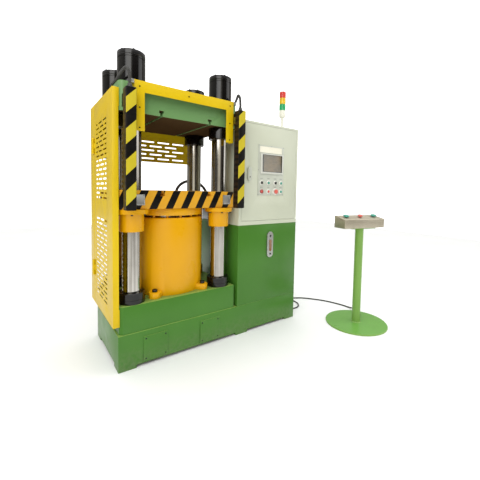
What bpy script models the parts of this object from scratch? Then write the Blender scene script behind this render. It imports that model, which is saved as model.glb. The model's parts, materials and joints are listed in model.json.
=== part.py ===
"""Four-column hydraulic press: an upstroke cylinder, a striped platen that rises on chromed columns to a
fixed crown, an oil tank with its pump, a control cabinet, slotted guards and a two-hand control stand.

Metres, +Z up. All places are measured from the base's front left foot: X along the front, Y to the back.
The empty press_origin then carries the whole machine, so that the origin is under the middle of its box.
"""

import math

import bmesh
import bpy
from mathutils import Matrix, Vector

# Clearances and sheet thicknesses
GAP = 0.0003
RUNNING_GAP = 0.0004
SHEET = 0.0025
DOOR_GAP = 0.002

# Base and bed
BASE_DEPTH = 0.620
FOOT_HEIGHT = 0.020
FOOT_LENGTH = 0.112
FOOT_DEPTH = 0.106
MIDDLE_FOOT_GAP = 0.021
TIER_TOP = 0.232
BED_LEFT = 0.011
BED_LENGTH = 0.854
BED_INSET = 0.009
BED_ROOT = 0.050
BED_TOP = 0.409
BED_CHAMFER = 0.020
COVER_SIZE = 0.165
COVER_THICKNESS = 0.006
COVER_INSETS = (0.226, 0.217)
COVER_Z = 0.113

# Columns
COLUMN_INSETS = (0.098, 0.097)
COLUMN_SETBACK = 0.0973
COLUMN_RADIUS = 0.060
SPIGOT_RADIUS = 0.050
SPIGOT_DEPTH = 0.150
SPIGOT_CLEARANCE = 0.005
BED_NUT_RADIUS = 0.085
BED_NUT_HEIGHT = 0.072
COLLAR_RADIUS = 0.084
COLLAR_HEIGHT = 0.085
NUT_RADIUS = 0.085
NUT_HEIGHT = 0.210
NUT_GROOVE_HEIGHT = 0.153
NUT_GROOVE_WIDTH = 0.017
NUT_GROOVE_DEPTH = 0.003
NUT_TOP_THICKNESS = 0.020
TURNED_CHAMFER = 0.003
COLUMN_STEPS = 20

# Crown
CROWN_BOTTOM = 1.620
CROWN_HEIGHT = 0.180
CROWN_CORNER = 0.030
SLOT_INSETS = (0.280, 0.220)
SLOT_NECK = 0.017
SLOT_NECK_DEPTH = 0.021
SLOT_WIDTH = 0.033
SLOT_FOOT = 0.016
CROWN_SLOT_INSETS = (0.263, 0.2325)

# Platen, ram and bushings
PLATEN_SIDE = 0.0045
PLATEN_INSET = 0.030
PLATEN_BOTTOM = 1.0187
PLATEN_THICKNESS = 0.123
PLATEN_EDGE = 0.003
STROKE = 0.350
RAM_CLEARANCE = 0.020
RAM_GUIDE = 0.138
BUSHING_RADIUS = 0.0775
BUSHING_LENGTH = 0.114
BUSHING_FLANGE_RADIUS = 0.105
BUSHING_FLANGE = 0.030

# Main cylinder
CYLINDER_CLEARANCE = 0.0222
CYLINDER_WALL = 0.065
CYLINDER_FLOOR = 0.090
BARREL_TOP = 0.952
GLAND_BOTTOM = 0.969
SEAL_HEIGHT = 0.050
SEAL_BELOW_TOP = 0.002
STUD_COUNT = 16
STUD_RADIUS = 0.009
STUD_INSET = 0.030
STUD_ROOT = 0.010
STUD_FIRST_ANGLE = -112.0
LUG_SHARE = 0.5043
LUG_OUT = 0.030
LUG_RADIUS = 0.040
LUG_THICKNESS = 0.040
PORT_ACROSS = 0.162
PORT_Z = 0.530
PORT_OUT = 0.020
PORT_ROOT = 0.015
PORT_RADIUS = 0.018
PORT_RISE = 0.045
CYLINDER_STEPS = 32

# Yellow frame before the crown
TRIM_INSETS = (0.073, 0.070)
TRIM_FRONT = -0.050
TRIM_LEG = 0.062
TRIM_BEAM = 0.068
TRIM_BOTTOM = 1.500
TRIM_WALL = 0.003

# Striped posts and conduits
POST_WIDTH = 0.060
POST_DEPTH = 0.065
POST_OUT = (0.037, 0.034)
POST_FRONT = -0.120
POST_BOTTOM = 1.022
POST_TOP = 1.732
POST_CORNER = 0.004
BRACKET_WIDTH = 0.040
BRACKET_BOTTOM = 1.640
BRACKET_TOP = 1.715
CONDUIT_RADIUS = 0.009
CONDUIT_RISE = 0.125
CONDUIT_LIFT = 0.001
CONDUIT_STRAIGHT = 0.024
CONDUIT_ENTRY = 0.050
CONDUIT_BACK = 0.010
CONDUIT_SPACING = 0.062

# Oil tank
TANK_GAP = 0.027
TANK_TOP = 0.877
TANK_WALL = 0.006
LID_THICKNESS = 0.008
GAUGE_INSET = 0.313
GAUGE_BOTTOM = 0.593
GAUGE_TOP = 0.811
GAUGE_WIDTH = 0.070
GAUGE_DEPTH = 0.016
GAUGE_WINDOW = 0.030
GAUGE_END = 0.030

# Cabinet
CABINET_WIDTH = 0.638
CABINET_TOP = 1.705
DOOR_INSETS = (0.028, 0.024)
DOOR_SILL = 0.034
DOOR_HEAD = 0.019
DOOR_DEPTH = 0.018
DOOR_SKIN = 0.002
HINGE_INSET = 0.004
HINGE_PIN_RADIUS = 0.003
HINGE_PIN_LENGTH = 0.014
HINGE_BLOCK = 0.020
HINGE_LUG = 0.010
PANEL_OFFSET = 0.0045
PANEL_WIDTH = 0.284
PANEL_BOTTOM = 1.117
PANEL_TOP = 1.529
PANEL_THICKNESS = 0.002
SCREEN_OFFSET = 0.0055
SCREEN_WIDTH = 0.252
SCREEN_BOTTOM = 1.294
SCREEN_TOP = 1.460
SCREEN_PROUD = 0.008
SCREEN_RIM = 0.010
SCREEN_BODY_DEPTH = 0.042
CONTROL_OFFSETS = (-0.103, -0.0285, 0.047, 0.112)
CONTROL_ROW_Z = (1.221, 1.149)
BEZEL_RADIUS = 0.0148
BEZEL_WALL = 0.003
BEZEL_HEIGHT = 0.006
CONTROL_HEAD = BEZEL_RADIUS - BEZEL_WALL - 2 * RUNNING_GAP
BUTTON_HEIGHT = 0.004
STEM_RADIUS = 0.008
STEM_LENGTH = 0.022
BUTTON_TRAVEL = 0.004
GRIP_WIDTH = 0.007
GRIP_HEIGHT = 0.018
STOP_RADIUS = 0.020
STOP_HEIGHT = 0.014
STOP_NECK = 0.012
STOP_TRAVEL = 0.005
CONTROL_STEPS = 12
LOCK_INSET = 0.0675
LOCK_PIVOT_Z = 1.322
LOCK_BOTTOM = 1.231
LOCK_WIDTH = 0.037
LOCK_THICKNESS = 0.014
LOCK_SPINDLE = 0.008
LOCK_CAM_LENGTH = 0.078
LOCK_CAM_WIDTH = 0.012
LOCK_CAM_BACK = 0.026
EQUIPMENT_INSET = 0.040
EQUIPMENT_PLATE = 0.003
EQUIPMENT_STANDOFF = 0.020
STANDOFF_RADIUS = 0.008
STANDOFF_INSET = 0.020
TRUNKING_DEPTH = 0.040
CONTACTOR_DEPTH = 0.075
TERMINAL_DEPTH = 0.060
CONTROLLER_DEPTH = 0.070
DRIVE_DEPTH = 0.085

# Signal light
SIGNAL_INSET = 0.060
SIGNAL_Y = 0.150
SIGNAL_RADIUS = 0.0285
SIGNAL_POLE_TOP = 1.830
SIGNAL_TIER = 0.056
SIGNAL_BASE_HEIGHT = 0.062
SIGNAL_POLE_RADIUS = 0.010
SIGNAL_FOOT_RADIUS = 0.030

# Pump set on the tank lid
PUMP_SPACE = 0.260
PUMP_CENTRE = 0.128
MOTOR_SIDE = 0.075
MOTOR_RADIUS = 0.092
MOTOR_FIN = 0.010
MOTOR_FINS = 18
MOTOR_HEIGHT = 0.112
MOTOR_BELL = 0.030
MOTOR_FOOT = 0.012
MOTOR_BOX = 0.045
FAN_COVER_LENGTH = 0.060
PUMP_LENGTH = 0.090
PUMP_GAP = 0.010
PUMP_RADIUS = 0.048
BELL_HOUSING_LENGTH = 0.070
PUMP_PORT = 0.022
BLOCK_SIDE = 0.013
BLOCK_WIDTH = 0.080
BLOCK_DEPTH = 0.112
BLOCK_INSET = 0.008
BLOCK_HEIGHT = 0.120
SOLENOID_RADIUS = 0.022
SOLENOID_LENGTH = 0.090
HOSE_RADIUS = 0.013
HOSE_START_SIDE = 0.035
HOSE_START_INSET = 0.027
HOSE_NIPPLE = 0.030
BREATHER_SIDE = 0.168
BREATHER_GAP = 0.050

# Guards
GUARD_X = -0.025
GUARD_FRONT = 0.021
GUARD_BEHIND = 0.080
GUARD_BOTTOM = 0.284
GUARD_TOP = 1.755
GUARD_FLANGE = 0.0355
GUARD_LIP = 0.0035
GUARD_LIP_HEIGHT = 0.110
GUARD_HINGE_INSET = 0.135
GUARD_WEB = 0.022
STRIP_RETURN = 0.030
SPACER_RADIUS = 0.010
GUARD_HINGE_GAP = 0.0015
GUARD_BARREL = 0.008
GUARD_PIN = 0.004
GUARD_HINGE_Z = (0.500, 1.400)
GUARD_HINGE_HEIGHT = 0.115
SLOT_FIELD_Y = 0.170
SLOT_FIELD_LENGTH = 0.327
SLOT_LENGTH = 0.107
SLOT_PITCH = 0.135
SLOT_SHORT = 0.057
SLOT_HEIGHT = 0.012
SLOT_ROW_PITCH = 0.032
SLOT_GROUPS = ((0.3925, 18), (1.0855, 17))
REAR_GUARD_BOTTOM = 1.385
REAR_SLOT_ROWS = 5
REAR_SLOT_COLUMNS = 5
REAR_SLOT_MARGIN = 0.079
REAR_SLOT_SPARE = 0.171
REAR_SLOT_FIRST_SHARE = 0.081
REAR_SLOT_ROW_SHARE = 0.096
REAR_SLOT_LENGTH_SHARE = 0.805
REAR_SPACER_SHARE = 0.200

# Two-hand control stand
STAND_DISTANCE = 0.370
STAND_Y = -0.410
DISC_RADIUS = 0.260
DISC_THICKNESS = 0.012
POLE_RADIUS = 0.035
POLE_TOP = 0.845
STAND_PLATE = 0.006
STAND_PLATE_WIDTH = 0.260
STAND_PLATE_DEPTH = 0.110
STAND_WELD = 0.006
STAND_TURN = -12.8
BOX_WIDTH = 0.446
BOX_DEPTH = 0.132
BOX_FRONT_HEIGHT = 0.077
BOX_BACK_HEIGHT = 0.1035
BOX_EDGE = 0.004
PALM_RADIUS = 0.026
PALM_HEIGHT = 0.016
PALM_TRAVEL = 0.006
PALM_SPACING = 0.310
PALM_STEM = 0.010
PALM_STEM_LENGTH = 0.024
PALM_WELL = 0.070
STAND_STOP_RADIUS = 0.022
STAND_GLAND_RADIUS = 0.012
STAND_GLAND_LENGTH = 0.018
STAND_GLAND_Z = 0.060
STAND_GLAND_TURN = 20.0

# Loose cable between the base and the stand
CABLE_RADIUS = 0.006
CABLE_GLAND_Y = 0.170
CABLE_GLAND_Z = 0.110
CABLE_GLAND_RADIUS = 0.012
CABLE_GLAND_LENGTH = 0.030
CABLE_POINTS = 60

# Worked out from the sizes above: the press
BED_RIGHT = BED_LEFT + BED_LENGTH
BED_FRONT = BED_INSET
BED_BACK = BASE_DEPTH - BED_INSET
COVER_X = (BED_LEFT + COVER_INSETS[0], BED_RIGHT - COVER_INSETS[1])
COLUMN_X = (BED_LEFT + COLUMN_INSETS[0], BED_RIGHT - COLUMN_INSETS[1])
COLUMN_Y = (COLUMN_SETBACK, BASE_DEPTH - COLUMN_SETBACK)
SLOT_X = (BED_LEFT + SLOT_INSETS[0], BED_RIGHT - SLOT_INSETS[1])
CROWN_SLOT_X = (BED_LEFT + CROWN_SLOT_INSETS[0], BED_RIGHT - CROWN_SLOT_INSETS[1])
PLATEN_LEFT = BED_LEFT + PLATEN_SIDE
PLATEN_RIGHT = BED_RIGHT - PLATEN_SIDE
PLATEN_FRONT = PLATEN_INSET
PLATEN_BACK = BASE_DEPTH - PLATEN_INSET
CYLINDER_X = (BED_LEFT + BED_RIGHT) / 2
CYLINDER_Y = BASE_DEPTH / 2
COLUMN_SPAN = (COLUMN_X[1] - COLUMN_X[0], COLUMN_Y[1] - COLUMN_Y[0])
CYLINDER_RADIUS = math.hypot(*COLUMN_SPAN) / 2 - BUSHING_FLANGE_RADIUS - CYLINDER_CLEARANCE
CYLINDER_BORE = CYLINDER_RADIUS - CYLINDER_WALL
RAM_RADIUS = CYLINDER_BORE - RAM_CLEARANCE
RAM_LENGTH = STROKE + RAM_GUIDE
STUD_CIRCLE = CYLINDER_RADIUS - STUD_INSET
LUG_REACH = CYLINDER_RADIUS + LUG_OUT
LUG_ANGLE = math.degrees(math.atan2(COLUMN_SPAN[1], LUG_SHARE * COLUMN_SPAN[0]))
LUG_ANGLES = (LUG_ANGLE, 180 - LUG_ANGLE, 180 + LUG_ANGLE, 360 - LUG_ANGLE)
PORT_X = CYLINDER_X + PORT_ACROSS
PORT_BACK = BASE_DEPTH + PORT_OUT
TRIM_LEFT = BED_LEFT + TRIM_INSETS[0]
TRIM_RIGHT = BED_RIGHT - TRIM_INSETS[1]
POST_X = (TRIM_LEFT - POST_OUT[0], TRIM_RIGHT + POST_OUT[1])
GUARD_BACK = BASE_DEPTH + GUARD_BEHIND
GUARD_HINGE_Y = GUARD_BACK - GUARD_HINGE_INSET
REAR_GUARD_HEIGHT = GUARD_TOP - REAR_GUARD_BOTTOM
REAR_SLOT_LEFT = BED_LEFT + REAR_SLOT_MARGIN
REAR_SLOT_PITCH = (BED_LENGTH - REAR_SLOT_SPARE) / REAR_SLOT_COLUMNS
REAR_SLOT_LENGTH = REAR_SLOT_LENGTH_SHARE * REAR_SLOT_PITCH
REAR_SLOT_ROW_PITCH = REAR_SLOT_ROW_SHARE * REAR_GUARD_HEIGHT

# Worked out: the tank, the cabinet and the stand
MIDDLE_FOOT_X = BED_RIGHT + MIDDLE_FOOT_GAP
TANK_LEFT = BED_RIGHT + TANK_GAP
BASE_LENGTH = TANK_LEFT + CABINET_WIDTH
CABINET_DEPTH = BASE_DEPTH - PUMP_SPACE
GAUGE_X = BASE_LENGTH - GAUGE_INSET
DOOR_LEFT = TANK_LEFT + DOOR_INSETS[0]
DOOR_RIGHT = BASE_LENGTH - DOOR_INSETS[1]
DOOR_BOTTOM = TANK_TOP + DOOR_SILL
DOOR_TOP = CABINET_TOP - DOOR_HEAD
PANEL_X = (DOOR_LEFT + DOOR_RIGHT) / 2 + PANEL_OFFSET
SCREEN_X = PANEL_X + SCREEN_OFFSET
CONTROL_X = tuple(PANEL_X + offset for offset in CONTROL_OFFSETS)
LOCK_X = DOOR_LEFT + LOCK_INSET
SIGNAL_X = BASE_LENGTH - SIGNAL_INSET
PUMP_RIGHT = TANK_LEFT + BLOCK_SIDE + BLOCK_WIDTH + PUMP_GAP + PUMP_LENGTH + BELL_HOUSING_LENGTH
MOTOR_RIGHT = BASE_LENGTH - MOTOR_SIDE - FAN_COVER_LENGTH
MOTOR_LENGTH = MOTOR_RIGHT - PUMP_RIGHT - MOTOR_BELL
MOTOR_X = MOTOR_RIGHT - MOTOR_LENGTH / 2
MOTOR_Y = BASE_DEPTH - PUMP_CENTRE
BLOCK_LEFT = TANK_LEFT + BLOCK_SIDE
BLOCK_RIGHT = BLOCK_LEFT + BLOCK_WIDTH
BLOCK_BACK = BASE_DEPTH - BLOCK_INSET
BLOCK_FRONT = BLOCK_BACK - BLOCK_DEPTH
HOSE_START = (BLOCK_LEFT + HOSE_START_SIDE, BLOCK_BACK - HOSE_START_INSET)
BREATHER_X = TANK_LEFT + BREATHER_SIDE
BREATHER_Y = CABINET_DEPTH + BREATHER_GAP
STAND_X = BASE_LENGTH + STAND_DISTANCE
CROWN_TOP = CROWN_BOTTOM + CROWN_HEIGHT
PLATEN_TOP = PLATEN_BOTTOM + PLATEN_THICKNESS
LID_TOP = TANK_TOP - GAP
GUARD_HINGE_X = GUARD_X - GUARD_BARREL - 0.0005
COLUMN_PLACES = [(x, y) for y in COLUMN_Y for x in COLUMN_X]
COLUMN_NAMES = ("front_left", "front_right", "rear_left", "rear_right")
LEFT_END = GUARD_HINGE_X - GUARD_BARREL
RIGHT_END = STAND_X + DISC_RADIUS
FRONT_END = STAND_Y - DISC_RADIUS
MIDDLE = Vector(((LEFT_END + RIGHT_END) / 2, (FRONT_END + GUARD_BACK) / 2, 0))


# Scene and small helpers

for old in list(bpy.data.objects):
    bpy.data.objects.remove(old, do_unlink=True)

PARTS = bpy.data.collections.new("hydraulic_press")
CUTTERS = bpy.data.collections.new("cutters")
for group in (PARTS, CUTTERS):
    bpy.context.scene.collection.children.link(group)
CUTTERS.hide_render = True

PRESS_ORIGIN = bpy.data.objects.new("press_origin", None)
PRESS_ORIGIN.location = -MIDDLE
PARTS.objects.link(PRESS_ORIGIN)


def finish(name, colour, roughness, metallic=0.0, alpha=1.0):
    """A Principled material from an sRGB colour written as six hex digits."""
    channels = [int(colour[i : i + 2], 16) / 255 for i in (0, 2, 4)]
    linear = [c / 12.92 if c <= 0.04045 else ((c + 0.055) / 1.055) ** 2.4 for c in channels]
    made = bpy.data.materials.new(name)
    made.use_nodes = True
    shader = made.node_tree.nodes["Principled BSDF"]
    shader.inputs["Base Color"].default_value = (*linear, 1.0)
    shader.inputs["Roughness"].default_value = roughness
    shader.inputs["Metallic"].default_value = metallic
    shader.inputs["Alpha"].default_value = alpha
    made.diffuse_color = (*linear, alpha)
    return made


BASE_GREEN = finish("base_green_enamel", "57853A", 0.35)
CROWN_GREEN = finish("crown_green_enamel", "74A060", 0.35)
CYLINDER_YELLOW = finish("cylinder_amber_enamel", "EDB10A", 0.35)
PLATEN_AMBER = finish("platen_amber_enamel", "E2A52C", 0.4)
GUARD_YELLOW = finish("guard_yellow_powder_coat", "E8C400", 0.3)
POST_YELLOW = finish("post_yellow_enamel", "CDBB30", 0.4)
CABINET_GREY = finish("cabinet_textured_enamel", "C3C8B2", 0.55)
CHROME = finish("hard_chrome", "D8DADB", 0.08, 1.0)
STEEL = finish("machined_steel", "A9ABAC", 0.3, 1.0)
BLACK_OXIDE = finish("black_gloss_enamel", "17181A", 0.2)
ALUMINIUM = finish("brushed_aluminium", "C4C6C7", 0.35, 1.0)
BLACK_PLASTIC = finish("black_plastic", "1C1C1D", 0.45)
RED_PLASTIC = finish("red_plastic", "C8321F", 0.35)
GREEN_PLASTIC = finish("green_plastic", "2F9A4B", 0.35)
RED_LENS = finish("red_lens", "D8402E", 0.15)
AMBER_LENS = finish("amber_lens", "EFC02C", 0.15)
GREEN_LENS = finish("green_lens", "4FA86A", 0.15)
CREAM_PLASTIC = finish("cream_plastic", "D9D6C8", 0.4)
BOX_GREY = finish("brushed_box_steel", "8F887C", 0.45, 0.6)
RUBBER = finish("black_rubber", "1A1A1A", 0.7)
MOTOR_BLUE = finish("motor_grey_enamel", "6F7C80", 0.45)
SEAL_BLACK = finish("packing_rubber", "222222", 0.8)


def add_object(name, mesh, look=None, origin=(0, 0, 0), turn=0.0):
    """An object on the press. One without a look is a cutter or a shape to be joined, and is hidden."""
    made = bpy.data.objects.new(name, mesh)
    made.parent = PRESS_ORIGIN
    made.location = origin
    made.rotation_euler.z = math.radians(turn)
    if look is None:
        made.hide_render = True
        made.display_type = "WIRE"
        CUTTERS.objects.link(made)
    else:
        mesh.materials.append(look)
        PARTS.objects.link(made)
    return made


def mesh_from(shape, name):
    """A mesh from a bmesh, which is freed."""
    bmesh.ops.recalc_face_normals(shape, faces=shape.faces)
    mesh = bpy.data.meshes.new(name)
    shape.to_mesh(mesh)
    shape.free()
    return mesh


def add_boxes(shape, corners):
    """Cubes scaled to fill each (low, high) pair of corners."""
    for low, high in corners:
        low, high = Vector(low), Vector(high)
        size = Matrix.Diagonal((high - low).to_4d())
        size[3][3] = 1.0
        bmesh.ops.create_cube(shape, size=1.0, matrix=Matrix.Translation((low + high) / 2) @ size)


def box(name, low, high, look=None, origin=(0, 0, 0), turn=0.0, bevel=0.0):
    """A box between two corners, measured from its origin."""
    shape = bmesh.new()
    add_boxes(shape, [(low, high)])
    made = add_object(name, mesh_from(shape, name), look, origin, turn)
    if bevel:
        round_edges(made, bevel)
    return made


def boxes(name, corners, look=None, origin=(0, 0, 0)):
    """Boxes that share one object. They keep clear of one another."""
    shape = bmesh.new()
    add_boxes(shape, corners)
    return add_object(name, mesh_from(shape, name), look, origin)


def round_edges(made, width, segments=1):
    bevel = made.modifiers.new("rounded_edges", "BEVEL")
    bevel.width = width
    bevel.segments = segments
    bevel.limit_method = "ANGLE"
    bevel.angle_limit = math.radians(40)


AXES = {
    "X": Matrix.Rotation(math.pi / 2, 4, "Y"),
    "Y": Matrix.Rotation(math.pi / 2, 4, "X"),
    "Z": Matrix(),
}


def rods(name, places, radius, length, look=None, origin=(0, 0, 0), axis="Z", steps=16):
    """Round bars of one size, each centred on its place and lying along axis."""
    shape = bmesh.new()
    for place in places:
        bmesh.ops.create_cone(
            shape, cap_ends=True, segments=steps, radius1=radius, radius2=radius, depth=length,
            matrix=Matrix.Translation(Vector(place)) @ AXES[axis],
        )
    return add_object(name, mesh_from(shape, name), look, origin)


def settled(made):
    """Gives the object its evaluated mesh, so that it can be shaded, turned and cut."""
    graph = bpy.context.evaluated_depsgraph_get()
    mesh = bpy.data.meshes.new_from_object(made.evaluated_get(graph))
    mesh.name = made.name
    made.modifiers.clear()
    made.data = mesh
    return made


def turned(name, profile, look=None, origin=(0, 0, 0), steps=24, axis="Z", ring=False):
    """A profile of (radius, height) points, listed down its outer side, swept round an axis."""
    shape = bmesh.new()
    corners = [shape.verts.new((r, 0, z)) for r, z in profile]
    for first, second in zip(corners, corners[1:] + corners[:1] if ring else corners[1:]):
        shape.edges.new((first, second))
    mesh = bpy.data.meshes.new(name)
    shape.to_mesh(mesh)
    shape.free()
    made = add_object(name, mesh, look, origin)
    sweep = made.modifiers.new("turned", "SCREW")
    sweep.steps = steps
    sweep.render_steps = steps
    sweep.use_merge_vertices = True
    sweep.merge_threshold = 0.0001
    settled(made)
    made.data.transform(AXES[axis])
    made.data.shade_smooth()
    made.data.set_sharp_from_angle(angle=math.radians(35))
    return made


def extruded(name, outline, thickness, look=None, origin=(0, 0, 0), axis="Z", turn=0.0):
    """A flat outline with its thickness centred on the origin. Along Y the outline is read as (x, z), and
    along X as (y, z)."""
    curve = bpy.data.curves.new(name, "CURVE")
    curve.dimensions = "2D"
    curve.fill_mode = "BOTH"
    curve.extrude = thickness / 2
    line = curve.splines.new("POLY")
    line.points.add(len(outline) - 1)
    line.use_cyclic_u = True
    for point, (a, b) in zip(line.points, outline):
        point.co = (a, b, 0, 1)
    drawn = bpy.data.objects.new(name + "_outline", curve)
    CUTTERS.objects.link(drawn)
    graph = bpy.context.evaluated_depsgraph_get()
    mesh = bpy.data.meshes.new_from_object(drawn.evaluated_get(graph))
    bpy.data.objects.remove(drawn)
    shape = bmesh.new()
    shape.from_mesh(mesh)
    bmesh.ops.remove_doubles(shape, verts=shape.verts, dist=1e-6)
    stand_up = {
        "Z": Matrix(),
        "Y": Matrix.Rotation(math.pi / 2, 4, "X"),
        "X": Matrix.Rotation(math.pi / 2, 4, "Z") @ Matrix.Rotation(math.pi / 2, 4, "X"),
    }[axis]
    bmesh.ops.transform(shape, matrix=stand_up, verts=shape.verts)
    return add_object(name, mesh_from(shape, name), look, origin, turn)


def boolean(made, operation, others):
    for other in others:
        change = made.modifiers.new(other.name, "BOOLEAN")
        change.operation = operation
        change.solver = "EXACT"
        change.object = other
    return made


def cut(made, *others):
    return boolean(made, "DIFFERENCE", others)


def join(made, *others):
    return boolean(made, "UNION", others)


def arc(centre, radius, start, end, count):
    """Points along an arc, with its angles in degrees."""
    step = (end - start) / (count - 1)
    angles = [math.radians(start + step * i) for i in range(count)]
    return [(centre[0] + radius * math.cos(a), centre[1] + radius * math.sin(a)) for a in angles]


def smooth_route(points, count):
    """Evenly spaced points on a smooth curve that passes through the points given."""
    points = [Vector(p) for p in points]
    fine = []
    for i in range(len(points) - 1):
        before = points[max(i - 1, 0)]
        after = points[min(i + 2, len(points) - 1)]
        a, b = points[i], points[i + 1]
        for k in range(24):
            t = k / 24
            fine.append(
                0.5 * (2 * a + (b - before) * t + (2 * before - 5 * a + 4 * b - after) * t**2
                       + (3 * a - before - 3 * b + after) * t**3)
            )
    fine.append(points[-1])
    along = [0.0]
    for first, second in zip(fine, fine[1:]):
        along.append(along[-1] + (second - first).length)
    even, k = [], 0
    for i in range(count):
        want = along[-1] * i / (count - 1)
        while k < len(along) - 2 and along[k + 1] < want:
            k += 1
        share = (want - along[k]) / (along[k + 1] - along[k])
        even.append(fine[k].lerp(fine[k + 1], min(share, 1.0)))
    return even


def tube(name, points, radius, look):
    """A round cord, hose or conduit that follows its points and has flat ends."""
    curve = bpy.data.curves.new(name, "CURVE")
    curve.dimensions = "3D"
    curve.bevel_depth = radius
    curve.bevel_resolution = 2
    curve.use_fill_caps = True
    line = curve.splines.new("POLY")
    line.points.add(len(points) - 1)
    for point, place in zip(line.points, points):
        point.co = (*place, 1)
    line.use_smooth = True
    return add_object(name, curve, look)


# Base, bed and covers

def make_base():
    base = box("base_frame", (0, 0, 0), (BASE_LENGTH, BASE_DEPTH, TIER_TOP), BASE_GREEN)
    far = 0.05
    channels = [
        ((start, -far, -far), (end, BASE_DEPTH + far, FOOT_HEIGHT))
        for start, end in (
            (FOOT_LENGTH, MIDDLE_FOOT_X), (MIDDLE_FOOT_X + FOOT_LENGTH, BASE_LENGTH - FOOT_LENGTH),
        )
    ]
    across = [((-far, FOOT_DEPTH, -far), (BASE_LENGTH + far, BASE_DEPTH - FOOT_DEPTH, FOOT_HEIGHT))]
    cut(base, boxes("foot_channels", channels), boxes("foot_cross_channel", across))
    c = BED_CHAMFER
    bed_outline = [
        (BED_LEFT + c, BED_FRONT), (BED_RIGHT, BED_FRONT), (BED_RIGHT, BED_BACK),
        (BED_LEFT + c, BED_BACK), (BED_LEFT, BED_BACK - c), (BED_LEFT, BED_FRONT + c),
    ]
    height = BED_TOP - TIER_TOP + BED_ROOT
    bed = extruded("bed_block", bed_outline, height, origin=(0, 0, BED_TOP - height / 2))
    join(base, bed)
    sockets = rods(
        "column_sockets", [(x, y, BED_TOP) for x, y in COLUMN_PLACES], SPIGOT_RADIUS + GAP,
        2 * SPIGOT_DEPTH, steps=COLUMN_STEPS,
    )
    cut(base, sockets)
    sunk = 0.004
    gland = rods(
        "cable_outlet", [(BASE_LENGTH + (CABLE_GLAND_LENGTH - sunk) / 2, CABLE_GLAND_Y, CABLE_GLAND_Z)],
        CABLE_GLAND_RADIUS, CABLE_GLAND_LENGTH + sunk, axis="X", steps=12,
    )
    join(base, gland)


def make_covers():
    for x, side in zip(COVER_X, ("left", "right")):
        half = COVER_SIZE / 2
        box(
            f"access_cover_{side}", (-half, -COVER_THICKNESS, -half), (half, 0, half), BASE_GREEN,
            origin=(x, -GAP, COVER_Z), bevel=0.0015,
        )


# Columns and their nuts

def make_columns():
    c = TURNED_CHAMFER
    foot = BED_TOP + GAP
    neck = foot + BED_NUT_HEIGHT
    head = CROWN_BOTTOM - GAP
    collar = head - COLLAR_HEIGHT
    spigot_top = CROWN_TOP + NUT_HEIGHT - NUT_TOP_THICKNESS - SPIGOT_CLEARANCE
    profile = [
        (0, spigot_top), (SPIGOT_RADIUS, spigot_top), (SPIGOT_RADIUS, head), (COLLAR_RADIUS, head),
        (COLLAR_RADIUS, collar + c), (COLLAR_RADIUS - c, collar), (COLUMN_RADIUS, collar),
        (COLUMN_RADIUS, neck), (BED_NUT_RADIUS - c, neck), (BED_NUT_RADIUS, neck - c),
        (BED_NUT_RADIUS, foot), (SPIGOT_RADIUS, foot), (SPIGOT_RADIUS, BED_TOP - SPIGOT_DEPTH + GAP),
        (0, BED_TOP - SPIGOT_DEPTH + GAP),
    ]
    for name, (x, y) in zip(COLUMN_NAMES, COLUMN_PLACES):
        turned("column_" + name, profile, CHROME, (x, y, 0), COLUMN_STEPS)


def make_column_nuts():
    c = TURNED_CHAMFER
    top = NUT_HEIGHT
    groove = NUT_GROOVE_HEIGHT
    inner = SPIGOT_RADIUS + RUNNING_GAP
    profile = [
        (0, top), (NUT_RADIUS - c, top), (NUT_RADIUS, top - c), (NUT_RADIUS, groove + NUT_GROOVE_WIDTH),
        (NUT_RADIUS - NUT_GROOVE_DEPTH, groove + NUT_GROOVE_WIDTH), (NUT_RADIUS - NUT_GROOVE_DEPTH, groove),
        (NUT_RADIUS, groove), (NUT_RADIUS, 0), (inner, 0), (inner, top - NUT_TOP_THICKNESS),
        (0, top - NUT_TOP_THICKNESS),
    ]
    for name, (x, y) in zip(COLUMN_NAMES, COLUMN_PLACES):
        turned("column_nut_" + name, profile, BLACK_OXIDE, (x, y, CROWN_TOP + GAP), COLUMN_STEPS)


# Crown and platen

def tee_slots(name, places, face, into, front, back):
    """Cutters for T-slots that run front to back. into is +1 where the slot is cut upwards from its face."""
    far = 0.02
    length = back - front + 2 * far
    half_neck, half_foot = SLOT_NECK / 2, SLOT_WIDTH / 2
    deep = SLOT_NECK_DEPTH + SLOT_FOOT
    section = [
        (-half_neck, -far), (half_neck, -far), (half_neck, SLOT_NECK_DEPTH), (half_foot, SLOT_NECK_DEPTH),
        (half_foot, deep), (-half_foot, deep), (-half_foot, SLOT_NECK_DEPTH), (-half_neck, SLOT_NECK_DEPTH),
    ]
    outline = [(x, into * z) for x, z in section]
    return [
        extruded(f"{name}_{i}", outline, length, origin=(x, (front + back) / 2, face), axis="Y")
        for i, x in enumerate(places)
    ]


def make_crown():
    r = CROWN_CORNER
    left, right = BED_LEFT, BED_RIGHT
    outline = (
        arc((left + r, BED_FRONT + r), r, 180, 270, 5) + arc((right - r, BED_FRONT + r), r, 270, 360, 5)
        + arc((right - r, BED_BACK - r), r, 0, 90, 5) + arc((left + r, BED_BACK - r), r, 90, 180, 5)
    )
    middle = CROWN_BOTTOM + CROWN_HEIGHT / 2
    crown = extruded("crown", outline, CROWN_HEIGHT, CROWN_GREEN, (0, 0, middle))
    holes = rods(
        "crown_bores", [(x, y, middle) for x, y in COLUMN_PLACES], SPIGOT_RADIUS + GAP,
        CROWN_HEIGHT + 0.04, steps=COLUMN_STEPS,
    )
    cut(crown, holes, *tee_slots("crown_slot", CROWN_SLOT_X, CROWN_BOTTOM, 1, BED_FRONT, BED_BACK))


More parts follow.
